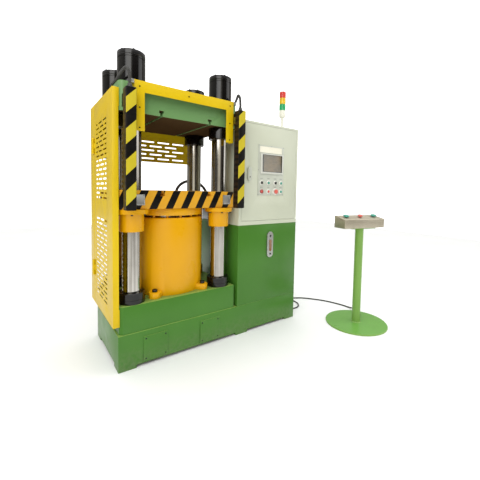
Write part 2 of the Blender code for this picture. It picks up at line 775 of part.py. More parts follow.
def make_platen():
    half_x = (PLATEN_RIGHT - PLATEN_LEFT) / 2
    half_y = (PLATEN_BACK - PLATEN_FRONT) / 2
    centre = ((PLATEN_LEFT + PLATEN_RIGHT) / 2, (PLATEN_FRONT + PLATEN_BACK) / 2, PLATEN_BOTTOM)
    platen = box(
        "platen", (-half_x, -half_y, 0), (half_x, half_y, PLATEN_THICKNESS), PLATEN_AMBER,
        origin=centre, bevel=PLATEN_EDGE,
    )
    holes = rods(
        "platen_bores", [(x, y, PLATEN_BOTTOM) for x, y in COLUMN_PLACES], COLUMN_RADIUS + RUNNING_GAP,
        4 * PLATEN_THICKNESS, steps=COLUMN_STEPS,
    )
    cut(platen, holes, *tee_slots("platen_slot", SLOT_X, PLATEN_TOP, -1, PLATEN_FRONT, PLATEN_BACK))


def make_bushings():
    c = TURNED_CHAMFER
    top = -GAP
    below = top - BUSHING_FLANGE
    foot = below - BUSHING_LENGTH
    bore = COLUMN_RADIUS + RUNNING_GAP
    profile = [
        (bore, top), (BUSHING_FLANGE_RADIUS, top), (BUSHING_FLANGE_RADIUS, below + c),
        (BUSHING_FLANGE_RADIUS - c, below), (BUSHING_RADIUS, below), (BUSHING_RADIUS, foot + c),
        (BUSHING_RADIUS - c, foot), (bore, foot),
    ]
    for name, (x, y) in zip(COLUMN_NAMES, COLUMN_PLACES):
        where = (x, y, PLATEN_BOTTOM)
        turned("guide_bushing_" + name, profile, CYLINDER_YELLOW, where, COLUMN_STEPS, ring=True)


# Main cylinder

def make_cylinder():
    c = 2 * TURNED_CHAMFER
    foot = BED_TOP + GAP
    floor = foot + CYLINDER_FLOOR
    r, bore = CYLINDER_RADIUS, CYLINDER_BORE
    profile = [
        (0, floor), (bore, floor), (bore, BARREL_TOP), (r - c, BARREL_TOP), (r, BARREL_TOP - c), (r, foot),
        (0, foot),
    ]
    where = (CYLINDER_X, CYLINDER_Y, 0)
    barrel = turned("main_cylinder", profile, CYLINDER_YELLOW, where, CYLINDER_STEPS)
    inner = (CYLINDER_RADIUS + CYLINDER_BORE) / 2
    tip = arc((LUG_REACH, 0), LUG_RADIUS, -90, 90, 7)
    outline = [(inner, -LUG_RADIUS), *tip, (inner, LUG_RADIUS)]
    for i, angle in enumerate(LUG_ANGLES):
        lug = extruded(
            f"cylinder_lug_{i}", outline, LUG_THICKNESS,
            origin=(CYLINDER_X, CYLINDER_Y, foot + LUG_THICKNESS / 2), turn=angle,
        )
        join(barrel, lug)
    surface = CYLINDER_Y + math.sqrt(CYLINDER_RADIUS**2 - (PORT_X - CYLINDER_X) ** 2)
    start = surface - PORT_ROOT
    boss = rods(
        "port_boss", [(PORT_X, (start + PORT_BACK) / 2, PORT_Z)], PORT_RADIUS, PORT_BACK - start,
        axis="Y", steps=12,
    )
    elbow = rods(
        "port_elbow", [(PORT_X, PORT_BACK, PORT_Z + PORT_RISE / 2 - PORT_RADIUS / 2)], PORT_RADIUS * 1.05,
        PORT_RISE + PORT_RADIUS, steps=12,
    )
    join(barrel, boss, elbow)


def make_gland_ring():
    bottom, top = GLAND_BOTTOM, PLATEN_BOTTOM - GAP
    inner, outer = RAM_RADIUS + RUNNING_GAP, CYLINDER_RADIUS
    c = TURNED_CHAMFER
    profile = [(inner, top), (outer - c, top), (outer, top - c), (outer, bottom), (inner, bottom)]
    where = (CYLINDER_X, CYLINDER_Y, 0)
    ring = turned("gland_ring", profile, CYLINDER_YELLOW, where, CYLINDER_STEPS, ring=True)
    low = BARREL_TOP + GAP
    length = bottom - low + STUD_ROOT
    places = []
    for i in range(STUD_COUNT):
        angle = math.radians(STUD_FIRST_ANGLE + 360 * i / STUD_COUNT)
        x = CYLINDER_X + STUD_CIRCLE * math.cos(angle)
        y = CYLINDER_Y + STUD_CIRCLE * math.sin(angle)
        places.append((x, y, low + length / 2))
    join(ring, rods("gland_studs", places, STUD_RADIUS, length, steps=6))


def make_packing_seal():
    top = BARREL_TOP - SEAL_BELOW_TOP
    inner, outer = RAM_RADIUS + RUNNING_GAP, CYLINDER_BORE - GAP
    profile = [(inner, top), (outer, top), (outer, top - SEAL_HEIGHT), (inner, top - SEAL_HEIGHT)]
    turned("packing_seal", profile, SEAL_BLACK, (CYLINDER_X, CYLINDER_Y, 0), CYLINDER_STEPS, ring=True)


def make_ram():
    top = -GAP
    c = TURNED_CHAMFER
    profile = [
        (0, top), (RAM_RADIUS, top), (RAM_RADIUS, c - RAM_LENGTH), (RAM_RADIUS - c, -RAM_LENGTH),
        (0, -RAM_LENGTH),
    ]
    turned("ram", profile, CHROME, (CYLINDER_X, CYLINDER_Y, PLATEN_BOTTOM), CYLINDER_STEPS)


# Yellow frame, striped posts and conduits

def make_trim_frame():
    back = BED_FRONT - GAP
    depth = back - TRIM_FRONT
    left, right, top = TRIM_LEFT, TRIM_RIGHT, CROWN_TOP

    def arch(inset):
        """The inverted U, drawn smaller by inset on every side but along its open back."""
        leg, beam, foot = TRIM_LEG - inset, TRIM_BEAM - inset, TRIM_BOTTOM + inset
        return [
            (left + inset, foot), (left + leg, foot), (left + leg, top - beam), (right - leg, top - beam),
            (right - leg, foot), (right - inset, foot), (right - inset, top - inset),
            (left + inset, top - inset),
        ]

    frame = extruded("trim_frame", arch(0), depth, GUARD_YELLOW, (0, TRIM_FRONT + depth / 2, 0), axis="Y")
    past = 0.01
    hollow_depth = depth - TRIM_WALL + past
    middle = (0, back + past - hollow_depth / 2, 0)
    hollow = extruded("trim_hollow", arch(TRIM_WALL), hollow_depth, origin=middle, axis="Y")
    cut(frame, hollow)


def make_posts():
    half = POST_WIDTH / 2
    back = POST_FRONT + POST_DEPTH
    sunk = 0.01
    for x, side in zip(POST_X, ("left", "right")):
        post = box(
            f"striped_post_{side}", (-half, POST_FRONT, POST_BOTTOM), (half, back, POST_TOP), POST_YELLOW,
            origin=(x, 0, 0), bevel=POST_CORNER,
        )
        start, end = x - BRACKET_WIDTH / 2, x + BRACKET_WIDTH / 2
        if side == "left":
            end = TRIM_LEFT - 2 * GAP
        else:
            start = TRIM_RIGHT + 2 * GAP
        join(post, box(
            f"post_bracket_{side}", (start, back - sunk, BRACKET_BOTTOM), (end, BED_FRONT - GAP, BRACKET_TOP)
        ))


def make_conduits():
    middle_y = POST_FRONT + POST_DEPTH / 2
    lie = CROWN_TOP + CONDUIT_RADIUS + CONDUIT_LIFT
    peak = POST_TOP + CONDUIT_RISE
    end_z = CABINET_TOP + GAP
    left_edge, right_edge = BED_LEFT + 0.001, BED_RIGHT - 0.001
    entry_x = TANK_LEFT + CONDUIT_ENTRY
    across_y = CYLINDER_Y - CONDUIT_BACK
    other_y = across_y - CONDUIT_SPACING
    step = CONDUIT_STRAIGHT

    def rise(x, way, edge, lean):
        """From a post's top up and over to the crown's edge. way is -1 to the left and +1 to the right."""
        return [
            (x, middle_y, POST_TOP + GAP), (x, middle_y, POST_TOP + step), (x, middle_y, POST_TOP + 2 * step),
            (x + way * 0.003, middle_y + 0.012, peak - 0.026), (x + way * lean, middle_y + 0.045, peak),
            (edge - way * 0.009, middle_y + 0.090, peak - 0.020), (edge, middle_y + 0.135, lie + 0.003),
        ]

    def drop(y):
        """The last straight stretch, down into the cabinet's top."""
        return [(entry_x, y, end_z + 0.044), (entry_x, y, end_z + 0.022), (entry_x, y, end_z)]

    left = rise(POST_X[0], -1, left_edge, 0.012) + [
        (left_edge, 0.110, lie), (left_edge, 0.180, lie), (left_edge + 0.010, 0.240, lie),
        (left_edge + 0.055, across_y - 0.015, lie), (left_edge + 0.148, across_y, lie),
        (CYLINDER_X - 0.038, across_y, lie), (CYLINDER_X + 0.202, across_y, lie),
        (right_edge - 0.044, across_y, lie), (right_edge + 0.004, across_y, lie + 0.001),
        (entry_x - 0.040, across_y, lie - 0.006), (entry_x - 0.012, across_y, lie - 0.032),
    ] + drop(across_y)
    right = rise(POST_X[1], 1, right_edge, 0.010) + [
        (right_edge, 0.100, lie), (right_edge + 0.005, 0.150, lie + 0.001),
        (right_edge + 0.024, other_y - 0.052, lie), (right_edge + 0.051, other_y - 0.024, lie - 0.018),
        (entry_x - 0.007, other_y - 0.006, lie - 0.040),
    ] + drop(other_y)
    for side, route, count in (("left", left, 46), ("right", right, 28)):
        tube(f"conduit_{side}", smooth_route(route, count), CONDUIT_RADIUS, BLACK_PLASTIC)


# Oil tank and its fittings

def make_tank():
    low = (TANK_LEFT, 0, TIER_TOP + GAP)
    top = TANK_TOP - LID_THICKNESS - 2 * GAP
    tank = box("oil_tank", low, (BASE_LENGTH, BASE_DEPTH, top), BASE_GREEN)
    w = TANK_WALL
    hollow = box(
        "tank_hollow", (low[0] + w, w, low[2] + w), (BASE_LENGTH - w, BASE_DEPTH - w, top + 0.05)
    )
    cut(tank, hollow)
    box("tank_lid", (TANK_LEFT, 0, top + GAP), (BASE_LENGTH, BASE_DEPTH, LID_TOP), BASE_GREEN)


def make_gauge():
    half = GAUGE_WIDTH / 2
    height = GAUGE_TOP - GAUGE_BOTTOM
    where = (GAUGE_X, -GAP, GAUGE_BOTTOM)
    low, high = (-half, -GAUGE_DEPTH, 0), (half, 0, height)
    gauge = box("oil_gauge", low, high, ALUMINIUM, origin=where, bevel=0.004)
    side, end = GAUGE_WINDOW / 2, GAUGE_END
    window = box(
        "gauge_window", (-side, -2 * GAUGE_DEPTH, end), (side, -GAUGE_DEPTH / 2, height - end), origin=where
    )
    cut(gauge, window)


def make_breather():
    profile = [
        (0, 0.070), (0.026, 0.070), (0.032, 0.064), (0.032, 0.026), (0.020, 0.022), (0.020, 0.010),
        (0.036, 0.008), (0.036, 0), (0, 0),
    ]
    turned("breather", profile, CHROME, (BREATHER_X, BREATHER_Y, LID_TOP + GAP), 16)


# Cabinet, door and controls

def make_cabinet():
    left, right, back, bottom, top = TANK_LEFT, BASE_LENGTH, CABINET_DEPTH, TANK_TOP, CABINET_TOP
    shell = box("cabinet_shell", (left, 0, bottom), (right, back, top), CABINET_GREY)
    inside = box(
        "cabinet_inside", (left + SHEET, SHEET, bottom + SHEET), (right - SHEET, back - SHEET, top - SHEET)
    )
    g = DOOR_GAP
    opening = box(
        "door_opening", (DOOR_LEFT - g, -0.02, DOOR_BOTTOM - g), (DOOR_RIGHT + g, 0.02, DOOR_TOP + g)
    )
    b = HINGE_BLOCK
    x = DOOR_RIGHT - HINGE_INSET
    start = 0.2 * SHEET
    blocks = boxes("hinge_blocks", [
        ((x - b / 2, start, DOOR_BOTTOM - g - HINGE_LUG), (x + b / 2, b, DOOR_BOTTOM - g)),
        ((x - b / 2, start, DOOR_TOP + g), (x + b / 2, b, DOOR_TOP + g + HINGE_LUG)),
    ])
    ends = [(x, HINGE_INSET, DOOR_BOTTOM), (x, HINGE_INSET, DOOR_TOP)]
    holes = rods("hinge_holes", ends, HINGE_PIN_RADIUS + RUNNING_GAP, 2 * HINGE_PIN_LENGTH, steps=12)
    cut(shell, inside, opening)
    join(shell, blocks)
    cut(shell, holes)


def stem_places(y):
    return [(x, y, z) for z in CONTROL_ROW_Z for x in CONTROL_X]


def screen_window(name):
    """The cut-out that the screen's body passes through."""
    half = SCREEN_WIDTH / 2 - SCREEN_RIM
    low, high = SCREEN_BOTTOM + SCREEN_RIM, SCREEN_TOP - SCREEN_RIM
    return box(name, (SCREEN_X - half, -0.02, low), (SCREEN_X + half, 0.01, high))


def make_door():
    hinge = Vector((DOOR_RIGHT - HINGE_INSET, HINGE_INSET, DOOR_BOTTOM))
    low = Vector((DOOR_LEFT, 0, DOOR_BOTTOM)) - hinge
    high = Vector((DOOR_RIGHT, DOOR_DEPTH, DOOR_TOP)) - hinge
    door = box("cabinet_door", low, high, CABINET_GREY, hinge)
    s = DOOR_SKIN
    tray = box(
        "door_tray", (DOOR_LEFT + s, s, DOOR_BOTTOM + s),
        (DOOR_RIGHT - 2 * HINGE_INSET, DOOR_DEPTH + 0.01, DOOR_TOP - s),
    )
    ends = [(hinge.x, hinge.y, DOOR_BOTTOM), (hinge.x, hinge.y, DOOR_TOP)]
    pins = rods("door_pins", ends, HINGE_PIN_RADIUS, HINGE_PIN_LENGTH, steps=12)
    through = 0.05
    stems = rods(
        "control_holes", stem_places(0), STEM_RADIUS + 0.002, through, axis="Y", steps=CONTROL_STEPS
    )
    spindle = rods(
        "lock_hole", [(LOCK_X, 0, LOCK_PIVOT_Z)], LOCK_SPINDLE + 0.001, through, axis="Y", steps=CONTROL_STEPS
    )
    cut(door, tray)
    join(door, pins)
    cut(door, screen_window("screen_cut_out"), stems, spindle)


def make_control_plate():
    half = PANEL_WIDTH / 2
    back = -GAP
    front = back - PANEL_THICKNESS
    plate = box(
        "control_plate", (PANEL_X - half, front, PANEL_BOTTOM), (PANEL_X + half, back, PANEL_TOP), ALUMINIUM
    )
    sunk, past = 0.001, 0.04
    rim = stem_places(front - (BEZEL_HEIGHT - sunk) / 2)
    bezels = rods("bezels", rim, BEZEL_RADIUS, BEZEL_HEIGHT + sunk, axis="Y", steps=CONTROL_STEPS)
    before = stem_places(front - past / 2)
    inner = BEZEL_RADIUS - BEZEL_WALL
    recess = rods("bezel_recesses", before, inner, past, axis="Y", steps=CONTROL_STEPS)
    bore = STEM_RADIUS + RUNNING_GAP
    holes = rods("stem_holes", stem_places(0), bore, past, axis="Y", steps=CONTROL_STEPS)
    join(plate, bezels)
    cut(plate, recess, holes, screen_window("plate_cut_out"))


def make_screen():
    half = SCREEN_WIDTH / 2
    back = -GAP - PANEL_THICKNESS - GAP
    front = back - SCREEN_PROUD
    low, high = (SCREEN_X - half, front, SCREEN_BOTTOM), (SCREEN_X + half, back, SCREEN_TOP)
    screen = box("touch_screen", low, high, BLACK_PLASTIC)
    inner = half - SCREEN_RIM - 0.001
    body = box(
        "screen_body", (SCREEN_X - inner, front + 0.004, SCREEN_BOTTOM + SCREEN_RIM + 0.001),
        (SCREEN_X + inner, SCREEN_BODY_DEPTH, SCREEN_TOP - SCREEN_RIM - 0.001),
    )
    glass = half - SCREEN_RIM * 1.5
    recess = box(
        "screen_recess", (SCREEN_X - glass, front - 0.01, SCREEN_BOTTOM + SCREEN_RIM * 1.5),
        (SCREEN_X + glass, front + 0.0015, SCREEN_TOP - SCREEN_RIM),
    )
    join(screen, body)
    cut(screen, recess)


def plunger(name, place, look, head_length, travel):
    """A push button's moving piece: its head stands clear of the plate by its travel, on a stem that passes
    through the plate and the door."""
    face = GAP + PANEL_THICKNESS
    clear = face + travel + 2 * GAP
    tip = clear + head_length
    r, edge = CONTROL_HEAD, 0.001
    profile = [
        (0, tip), (r - edge, tip), (r, tip - edge), (r, clear), (STEM_RADIUS, clear),
        (STEM_RADIUS, -STEM_LENGTH), (0, -STEM_LENGTH),
    ]
    made = turned(name, profile, look, (place[0], 0, place[1]), CONTROL_STEPS)
    made.data.transform(Matrix.Rotation(math.pi / 2, 4, "X"))
    return made


def selector(name, place):
    """A rotary switch: a round head in its bezel with a raised grip across it."""
    head_length = BEZEL_HEIGHT - 0.001
    made = plunger(name, place, BLACK_PLASTIC, head_length, RUNNING_GAP)
    face = GAP + PANEL_THICKNESS
    half, reach = GRIP_WIDTH / 2, 0.92 * CONTROL_HEAD
    grip = box(
        name + "_grip", (-half, -face - GRIP_HEIGHT, -reach), (half, -face - head_length / 2, reach),
        origin=(place[0], 0, place[1]),
    )
    join(made, grip)


def make_controls():
    upper, lower = CONTROL_ROW_Z
    selector("selector_left", (CONTROL_X[0], upper))
    selector("selector_right", (CONTROL_X[2], upper))
    for name, x, z, look in (
        ("start", CONTROL_X[1], upper, GREEN_PLASTIC), ("heat", CONTROL_X[3], upper, GREEN_PLASTIC),
        ("lower", CONTROL_X[0], lower, RED_PLASTIC), ("stop", CONTROL_X[1], lower, RED_PLASTIC),
        ("raise", CONTROL_X[3], lower, GREEN_PLASTIC),
    ):
        plunger("button_" + name, (x, z), look, BUTTON_HEIGHT, BUTTON_TRAVEL)
    stop = plunger("emergency_stop", (CONTROL_X[2], lower), RED_PLASTIC, STOP_NECK, STOP_TRAVEL)
    face = GAP + PANEL_THICKNESS + BEZEL_HEIGHT + STOP_TRAVEL + 0.002
    r, h = STOP_RADIUS, STOP_HEIGHT
    profile = [
        (0, face + h), (r * 0.6, face + h * 0.9), (r * 0.9, face + h * 0.65), (r, face + h * 0.3),
        (r * 0.95, face), (0, face),
    ]
    cap = turned("stop_cap", profile, None, (CONTROL_X[2], 0, lower), CONTROL_STEPS)
    cap.data.transform(Matrix.Rotation(math.pi / 2, 4, "X"))
    join(stop, cap)


def make_lock():
    half = LOCK_WIDTH / 2
    down = LOCK_PIVOT_Z - LOCK_BOTTOM - half
    outline = arc((0, 0), half, 0, 180, 9) + arc((0, -down), half, 180, 360, 9)
    where = (LOCK_X, -GAP - LOCK_THICKNESS / 2, LOCK_PIVOT_Z)
    lock = extruded("door_lock", outline, LOCK_THICKNESS, CHROME, where, axis="Y")
    spindle_back = LOCK_CAM_BACK + 0.004
    spindle = rods(
        "lock_spindle", [(LOCK_X, (spindle_back - 0.004) / 2, LOCK_PIVOT_Z)], LOCK_SPINDLE,
        spindle_back + 0.004, axis="Y", steps=CONTROL_STEPS,
    )
    cam = box(
        "lock_cam", (LOCK_X - LOCK_CAM_WIDTH / 2, LOCK_CAM_BACK - 0.003, LOCK_PIVOT_Z - LOCK_CAM_LENGTH),
        (LOCK_X + LOCK_CAM_WIDTH / 2, LOCK_CAM_BACK, LOCK_PIVOT_Z),
    )
    join(lock, spindle, cam)


def make_equipment():
    """The switchgear on its plate inside the cabinet: trunking, controller, contactors and terminals."""
    inset = EQUIPMENT_INSET
    left, right = TANK_LEFT + inset, BASE_LENGTH - inset
    bottom, top = TANK_TOP + inset, CABINET_TOP - inset
    wide, tall = right - left, top - bottom
    back = CABINET_DEPTH - SHEET - EQUIPMENT_STANDOFF
    front = back - EQUIPMENT_PLATE
    plate = box("switchgear_plate", (left, front, bottom), (right, back, top), CREAM_PLASTIC)
    sunk = EQUIPMENT_PLATE / 3
    wall = CABINET_DEPTH - SHEET - GAP
    s = STANDOFF_INSET
    feet = [(x, (back - sunk + wall) / 2, z) for x in (left + s, right - s) for z in (bottom + s, top - s)]
    standoffs = rods("standoffs", feet, STANDOFF_RADIUS, wall - back + sunk, axis="Y", steps=8)
    shapes = []
    for x, z, width, height, depth in (
        *[(0.018, z, 0.964, 0.047, TRUNKING_DEPTH) for z in (0.027, 0.374, 0.749)],
        (0.466, 0.200, 0.251, 0.147, CONTROLLER_DEPTH),
        (0.681, 0.561, 0.215, 0.147, DRIVE_DEPTH),
        *[(0.054 + 0.088 * i, 0.575, 0.081, 0.107, CONTACTOR_DEPTH) for i in range(6)],
        *[(0.054 + 0.0466 * i, 0.227, 0.043, 0.114, TERMINAL_DEPTH) for i in range(7)],
    ):
        # Places and sizes across the plate are shares of its own width and height
        low = (left + x * wide, front - depth, bottom + z * tall)
        shapes.append((low, (low[0] + width * wide, front + sunk, low[2] + height * tall)))
    join(plate, standoffs, boxes("switchgear", shapes))


def make_signal():
    z = CABINET_TOP + GAP
    top = SIGNAL_POLE_TOP + SIGNAL_BASE_HEIGHT
    r, pole = SIGNAL_RADIUS, SIGNAL_POLE_RADIUS
    profile = [
        (0, top), (r - 0.001, top), (r, top - 0.001), (r, SIGNAL_POLE_TOP + 0.004),
        (r - 0.004, SIGNAL_POLE_TOP), (pole, SIGNAL_POLE_TOP), (pole, z + 0.008),
        (SIGNAL_FOOT_RADIUS, z + 0.006), (SIGNAL_FOOT_RADIUS, z), (0, z),
    ]
    where = (SIGNAL_X, SIGNAL_Y, 0)
    turned("signal_base", profile, CREAM_PLASTIC, where, 16)
    for i, (name, look) in enumerate((("green", GREEN_LENS), ("amber", AMBER_LENS), ("red", RED_LENS))):
        low = top + i * SIGNAL_TIER + GAP
        high = low + SIGNAL_TIER - GAP
        edge = 0.006 if name == "red" else 0.001
        lens = [(0, high), (r - edge, high), (r, high - edge), (r, low + 0.002), (r - 0.002, low), (0, low)]
        turned(f"signal_lens_{name}", lens, look, where, 16)


# Pump set

def make_motor():
    """The finned motor lies along X on its two feet, with its fan cover at the right."""
    z = LID_TOP + GAP + MOTOR_HEIGHT
    where = (MOTOR_X, MOTOR_Y, z)
    r, half = MOTOR_RADIUS, MOTOR_LENGTH / 2
    root = r - MOTOR_FIN
    outline = []
    for i in range(MOTOR_FINS):
        for share, reach in ((-0.18, r), (0.18, r), (0.26, root), (0.74, root)):
            a = 2 * math.pi * (i + share) / MOTOR_FINS
            outline.append((reach * math.cos(a), reach * math.sin(a)))
    motor = extruded("pump_motor", outline, MOTOR_LENGTH, MOTOR_BLUE, where, axis="X")
    bell, cover, lap = MOTOR_BELL, FAN_COVER_LENGTH, 0.4 * MOTOR_FIN
    ends = [
        (0, half + cover), (r * 0.82, half + cover), (r * 1.02, half + 0.75 * cover), (r * 1.02, half - lap),
        (r * 0.3, half - lap), (r * 0.3, lap - half), (r * 0.98, lap - half), (r * 0.98, -half - bell / 2),
        (r * 0.55, -half - bell), (0, -half - bell),
    ]
    body = turned("motor_ends", ends, None, where, 18, axis="X")
    floor, foot, across = -MOTOR_HEIGHT, MOTOR_FOOT - MOTOR_HEIGHT, 0.95 * r
    feet = boxes("motor_feet", [
        ((-0.8 * half, -across, floor), (-0.4 * half, across, foot)),
        ((0.4 * half, -across, floor), (0.8 * half, across, foot)),
    ], origin=where)
    low, middle = floor + MOTOR_FOOT / 2, r / 2
    legs = boxes("motor_legs", [
        ((-0.78 * half, -middle, low), (-0.42 * half, middle, -middle)),
        ((0.42 * half, -middle, low), (0.78 * half, middle, -middle)),
        ((-half / 2, -MOTOR_BOX, middle), (half / 2, MOTOR_BOX, r + MOTOR_BOX)),
    ], origin=where)
    join(motor, body, legs, feet)


def make_pump():
    z = LID_TOP + GAP + MOTOR_HEIGHT
    right = MOTOR_X - MOTOR_LENGTH / 2 - MOTOR_BELL - GAP
    r, p = MOTOR_RADIUS, PUMP_RADIUS
    bell = BELL_HOUSING_LENGTH
    rim, end = bell + MOTOR_FIN, bell + PUMP_LENGTH
    edge = 0.12 * p
    profile = [
        (0, 0), (r * 0.55, 0), (r * 0.55, -0.1 * bell), (r * 0.5, -bell / 2), (p * 1.2, -bell),
        (p * 1.2, -rim), (p, -rim), (p, edge - end), (p - edge, -end), (0, -end),
    ]
    pump = turned("pump", profile, MOTOR_BLUE, (right, MOTOR_Y, z), 16, axis="X")
    middle = right - bell - PUMP_LENGTH / 2
    half = PUMP_PORT
    low = (middle - half, MOTOR_Y - half, LID_TOP + GAP)
    join(pump, box("pump_port", low, (middle + half, MOTOR_Y + half, z - 0.2 * p)))


def make_valve_block():
    z = LID_TOP + GAP
    top = z + BLOCK_HEIGHT
    block = box("valve_block", (BLOCK_LEFT, BLOCK_FRONT, z), (BLOCK_RIGHT, BLOCK_BACK, top), STEEL)
    x, y = HOSE_START
    sunk = HOSE_NIPPLE / 3
    middle = top + (HOSE_NIPPLE - sunk) / 2
    nipple = rods("hose_nipple", [(x, y, middle)], HOSE_RADIUS * 1.25, HOSE_NIPPLE + sunk, steps=12)
    lap = 0.005
    place = (BLOCK_LEFT + BLOCK_WIDTH / 2, BLOCK_FRONT - SOLENOID_LENGTH / 2 + lap, z + BLOCK_HEIGHT / 2)
    join(block, nipple, rods("solenoids", [place], SOLENOID_RADIUS, SOLENOID_LENGTH, axis="Y", steps=12))


def hose_route():
    """Up from the block, over in an arch behind the press and down to the port's elbow."""
    x, y = HOSE_START
    top = LID_TOP + GAP + BLOCK_HEIGHT + HOSE_NIPPLE + GAP
    end_x, end_y, end_z = PORT_X, PORT_BACK, PORT_Z + PORT_RISE + GAP
    arch = top + 0.2057
    return [
        (x, y, top), (x, y, top + 0.038), (x - 0.002, y + 0.013, top + 0.0957),
        (x - 0.028, y + 0.032, top + 0.1507), (x - 0.075, y + 0.055, arch - 0.016),
        (x - 0.140, y + 0.075, arch), (end_x + 0.138, end_y + 0.034, arch - 0.017),
        (end_x + 0.092, end_y + 0.041, arch - 0.057), (end_x + 0.071, end_y + 0.044, arch - 0.113),
        (end_x + 0.060, end_y + 0.044, arch - 0.233), (end_x + 0.048, end_y + 0.038, end_z + 0.2747),
        (end_x + 0.030, end_y + 0.026, end_z + 0.1547), (end_x + 0.012, end_y + 0.010, end_z + 0.0747),
        (end_x, end_y, end_z + 0.0297), (end_x, end_y, end_z),
    ]


def make_hose():
    tube("pressure_hose", smooth_route(hose_route(), 34), HOSE_RADIUS, RUBBER)


# Guards

def slot_outline(length, height):
    """A slot with pointed round ends, six corners."""
    r = height / 2
    return [(0, 0), (r * 0.7, -r), (length - r * 0.7, -r), (length, 0), (length - r * 0.7, r), (r * 0.7, r)]


def slot_cutters(name, slots, height, origin, axis):
    """One cutter that holds every slot: (start, centre height, length) for each."""
    shape = bmesh.new()
    thickness = 0.03
    for start, level, length in slots:
        outline = slot_outline(length, height)
        corners = []
        for a, b in outline:
            along = start + a
            place = (0, along, level + b) if axis == "X" else (along, 0, level + b)
            corners.append(shape.verts.new(place))
        face = shape.faces.new(corners)
        grown = bmesh.ops.extrude_face_region(shape, geom=[face])
        moved = [item for item in grown["geom"] if isinstance(item, bmesh.types.BMVert)]
        way = Vector((thickness, 0, 0)) if axis == "X" else Vector((0, thickness, 0))
        bmesh.ops.translate(shape, verts=moved, vec=way)
        bmesh.ops.translate(shape, verts=corners, vec=-way)
    return add_object(name, mesh_from(shape, name), None, origin)


def guard_hinge_parts(z, on_door):
    """The knuckles of one hinge: the middle one is the door's, and the outer two are the strip's."""
    third = GUARD_HINGE_HEIGHT / 3
    if on_door:
        return [(z + third + GAP, z + 2 * third - GAP)]
    return [(z, z + third - GAP), (z + 2 * third + GAP, z + GUARD_HINGE_HEIGHT)]


def knuckles(name, spans, side):
    """Barrels with the flat web that carries each. side is -1 towards the front and +1 towards the back."""
    made = []
    x, y = GUARD_HINGE_X, GUARD_HINGE_Y
    start, end = x + GUARD_PIN, GUARD_X + SHEET / 2
    near, far = sorted((y + side * GUARD_HINGE_GAP, y + side * GUARD_WEB))
    for i, (low, high) in enumerate(spans):
        middle, length = (low + high) / 2, high - low
        made.append(rods(f"{name}_barrel_{i}", [(x, y, middle)], GUARD_BARREL, length, steps=16))
        made.append(box(f"{name}_web_{i}", (start, near, low), (end, far, high)))
    return made


def make_side_guard():
    hinge = Vector((GUARD_HINGE_X, GUARD_HINGE_Y, 0))
    back = GUARD_HINGE_Y - GUARD_HINGE_GAP
    right = GUARD_X + GUARD_FLANGE
    low = Vector((GUARD_X, GUARD_FRONT, GUARD_BOTTOM)) - hinge
    high = Vector((right, back, GUARD_TOP)) - hinge
    guard = boxes("side_guard", [(low, high)], GUARD_YELLOW, origin=hinge)
    past = 0.05
    inside = box(
        "guard_inside", (GUARD_X + SHEET, GUARD_FRONT + SHEET, GUARD_BOTTOM - past),
        (right + past, back + past, GUARD_TOP + past),
    )
    lap, depth = 0.8 * SHEET, GUARD_FRONT + SHEET
    lips = boxes("guard_lips", [
        ((right - lap, GUARD_FRONT, foot), (right + GUARD_LIP, depth, foot + GUARD_LIP_HEIGHT))
        for foot in (GUARD_BOTTOM, GUARD_TOP - GUARD_LIP_HEIGHT)
    ])
    slots = []
    for bottom, rows in SLOT_GROUPS:
        for row in range(rows):
            spans = slot_row(row, SLOT_FIELD_LENGTH)
            level = bottom + row * SLOT_ROW_PITCH
            slots += [(SLOT_FIELD_Y + a, level, b - a) for a, b in spans]
    cut(guard, inside)
    join(guard, lips)
    cut(guard, slot_cutters("guard_slots", slots, SLOT_HEIGHT, (GUARD_X, 0, 0), "X"))
    for i, z in enumerate(GUARD_HINGE_Z):
        join(guard, *knuckles(f"guard_hinge_{i}", guard_hinge_parts(z, True), -1))
    bores = rods(
        "guard_hinge_bores", [(hinge.x, hinge.y, z + GUARD_HINGE_HEIGHT / 2) for z in GUARD_HINGE_Z],
        GUARD_PIN + RUNNING_GAP, GUARD_HINGE_HEIGHT, steps=12,
    )
    cut(guard, bores)


def slot_row(row, end):
    """Where the slots of a row start and end. Alternate rows are shifted by half a pitch."""
    first = SLOT_LENGTH if row % 2 == 0 else SLOT_SHORT
    gap = SLOT_PITCH - SLOT_LENGTH
    spans = [(0.0, first)]
    while spans[-1][1] + gap < end - SLOT_HEIGHT:
        start = spans[-1][1] + gap
        spans.append((start, min(start + SLOT_LENGTH, end)))
    return spans


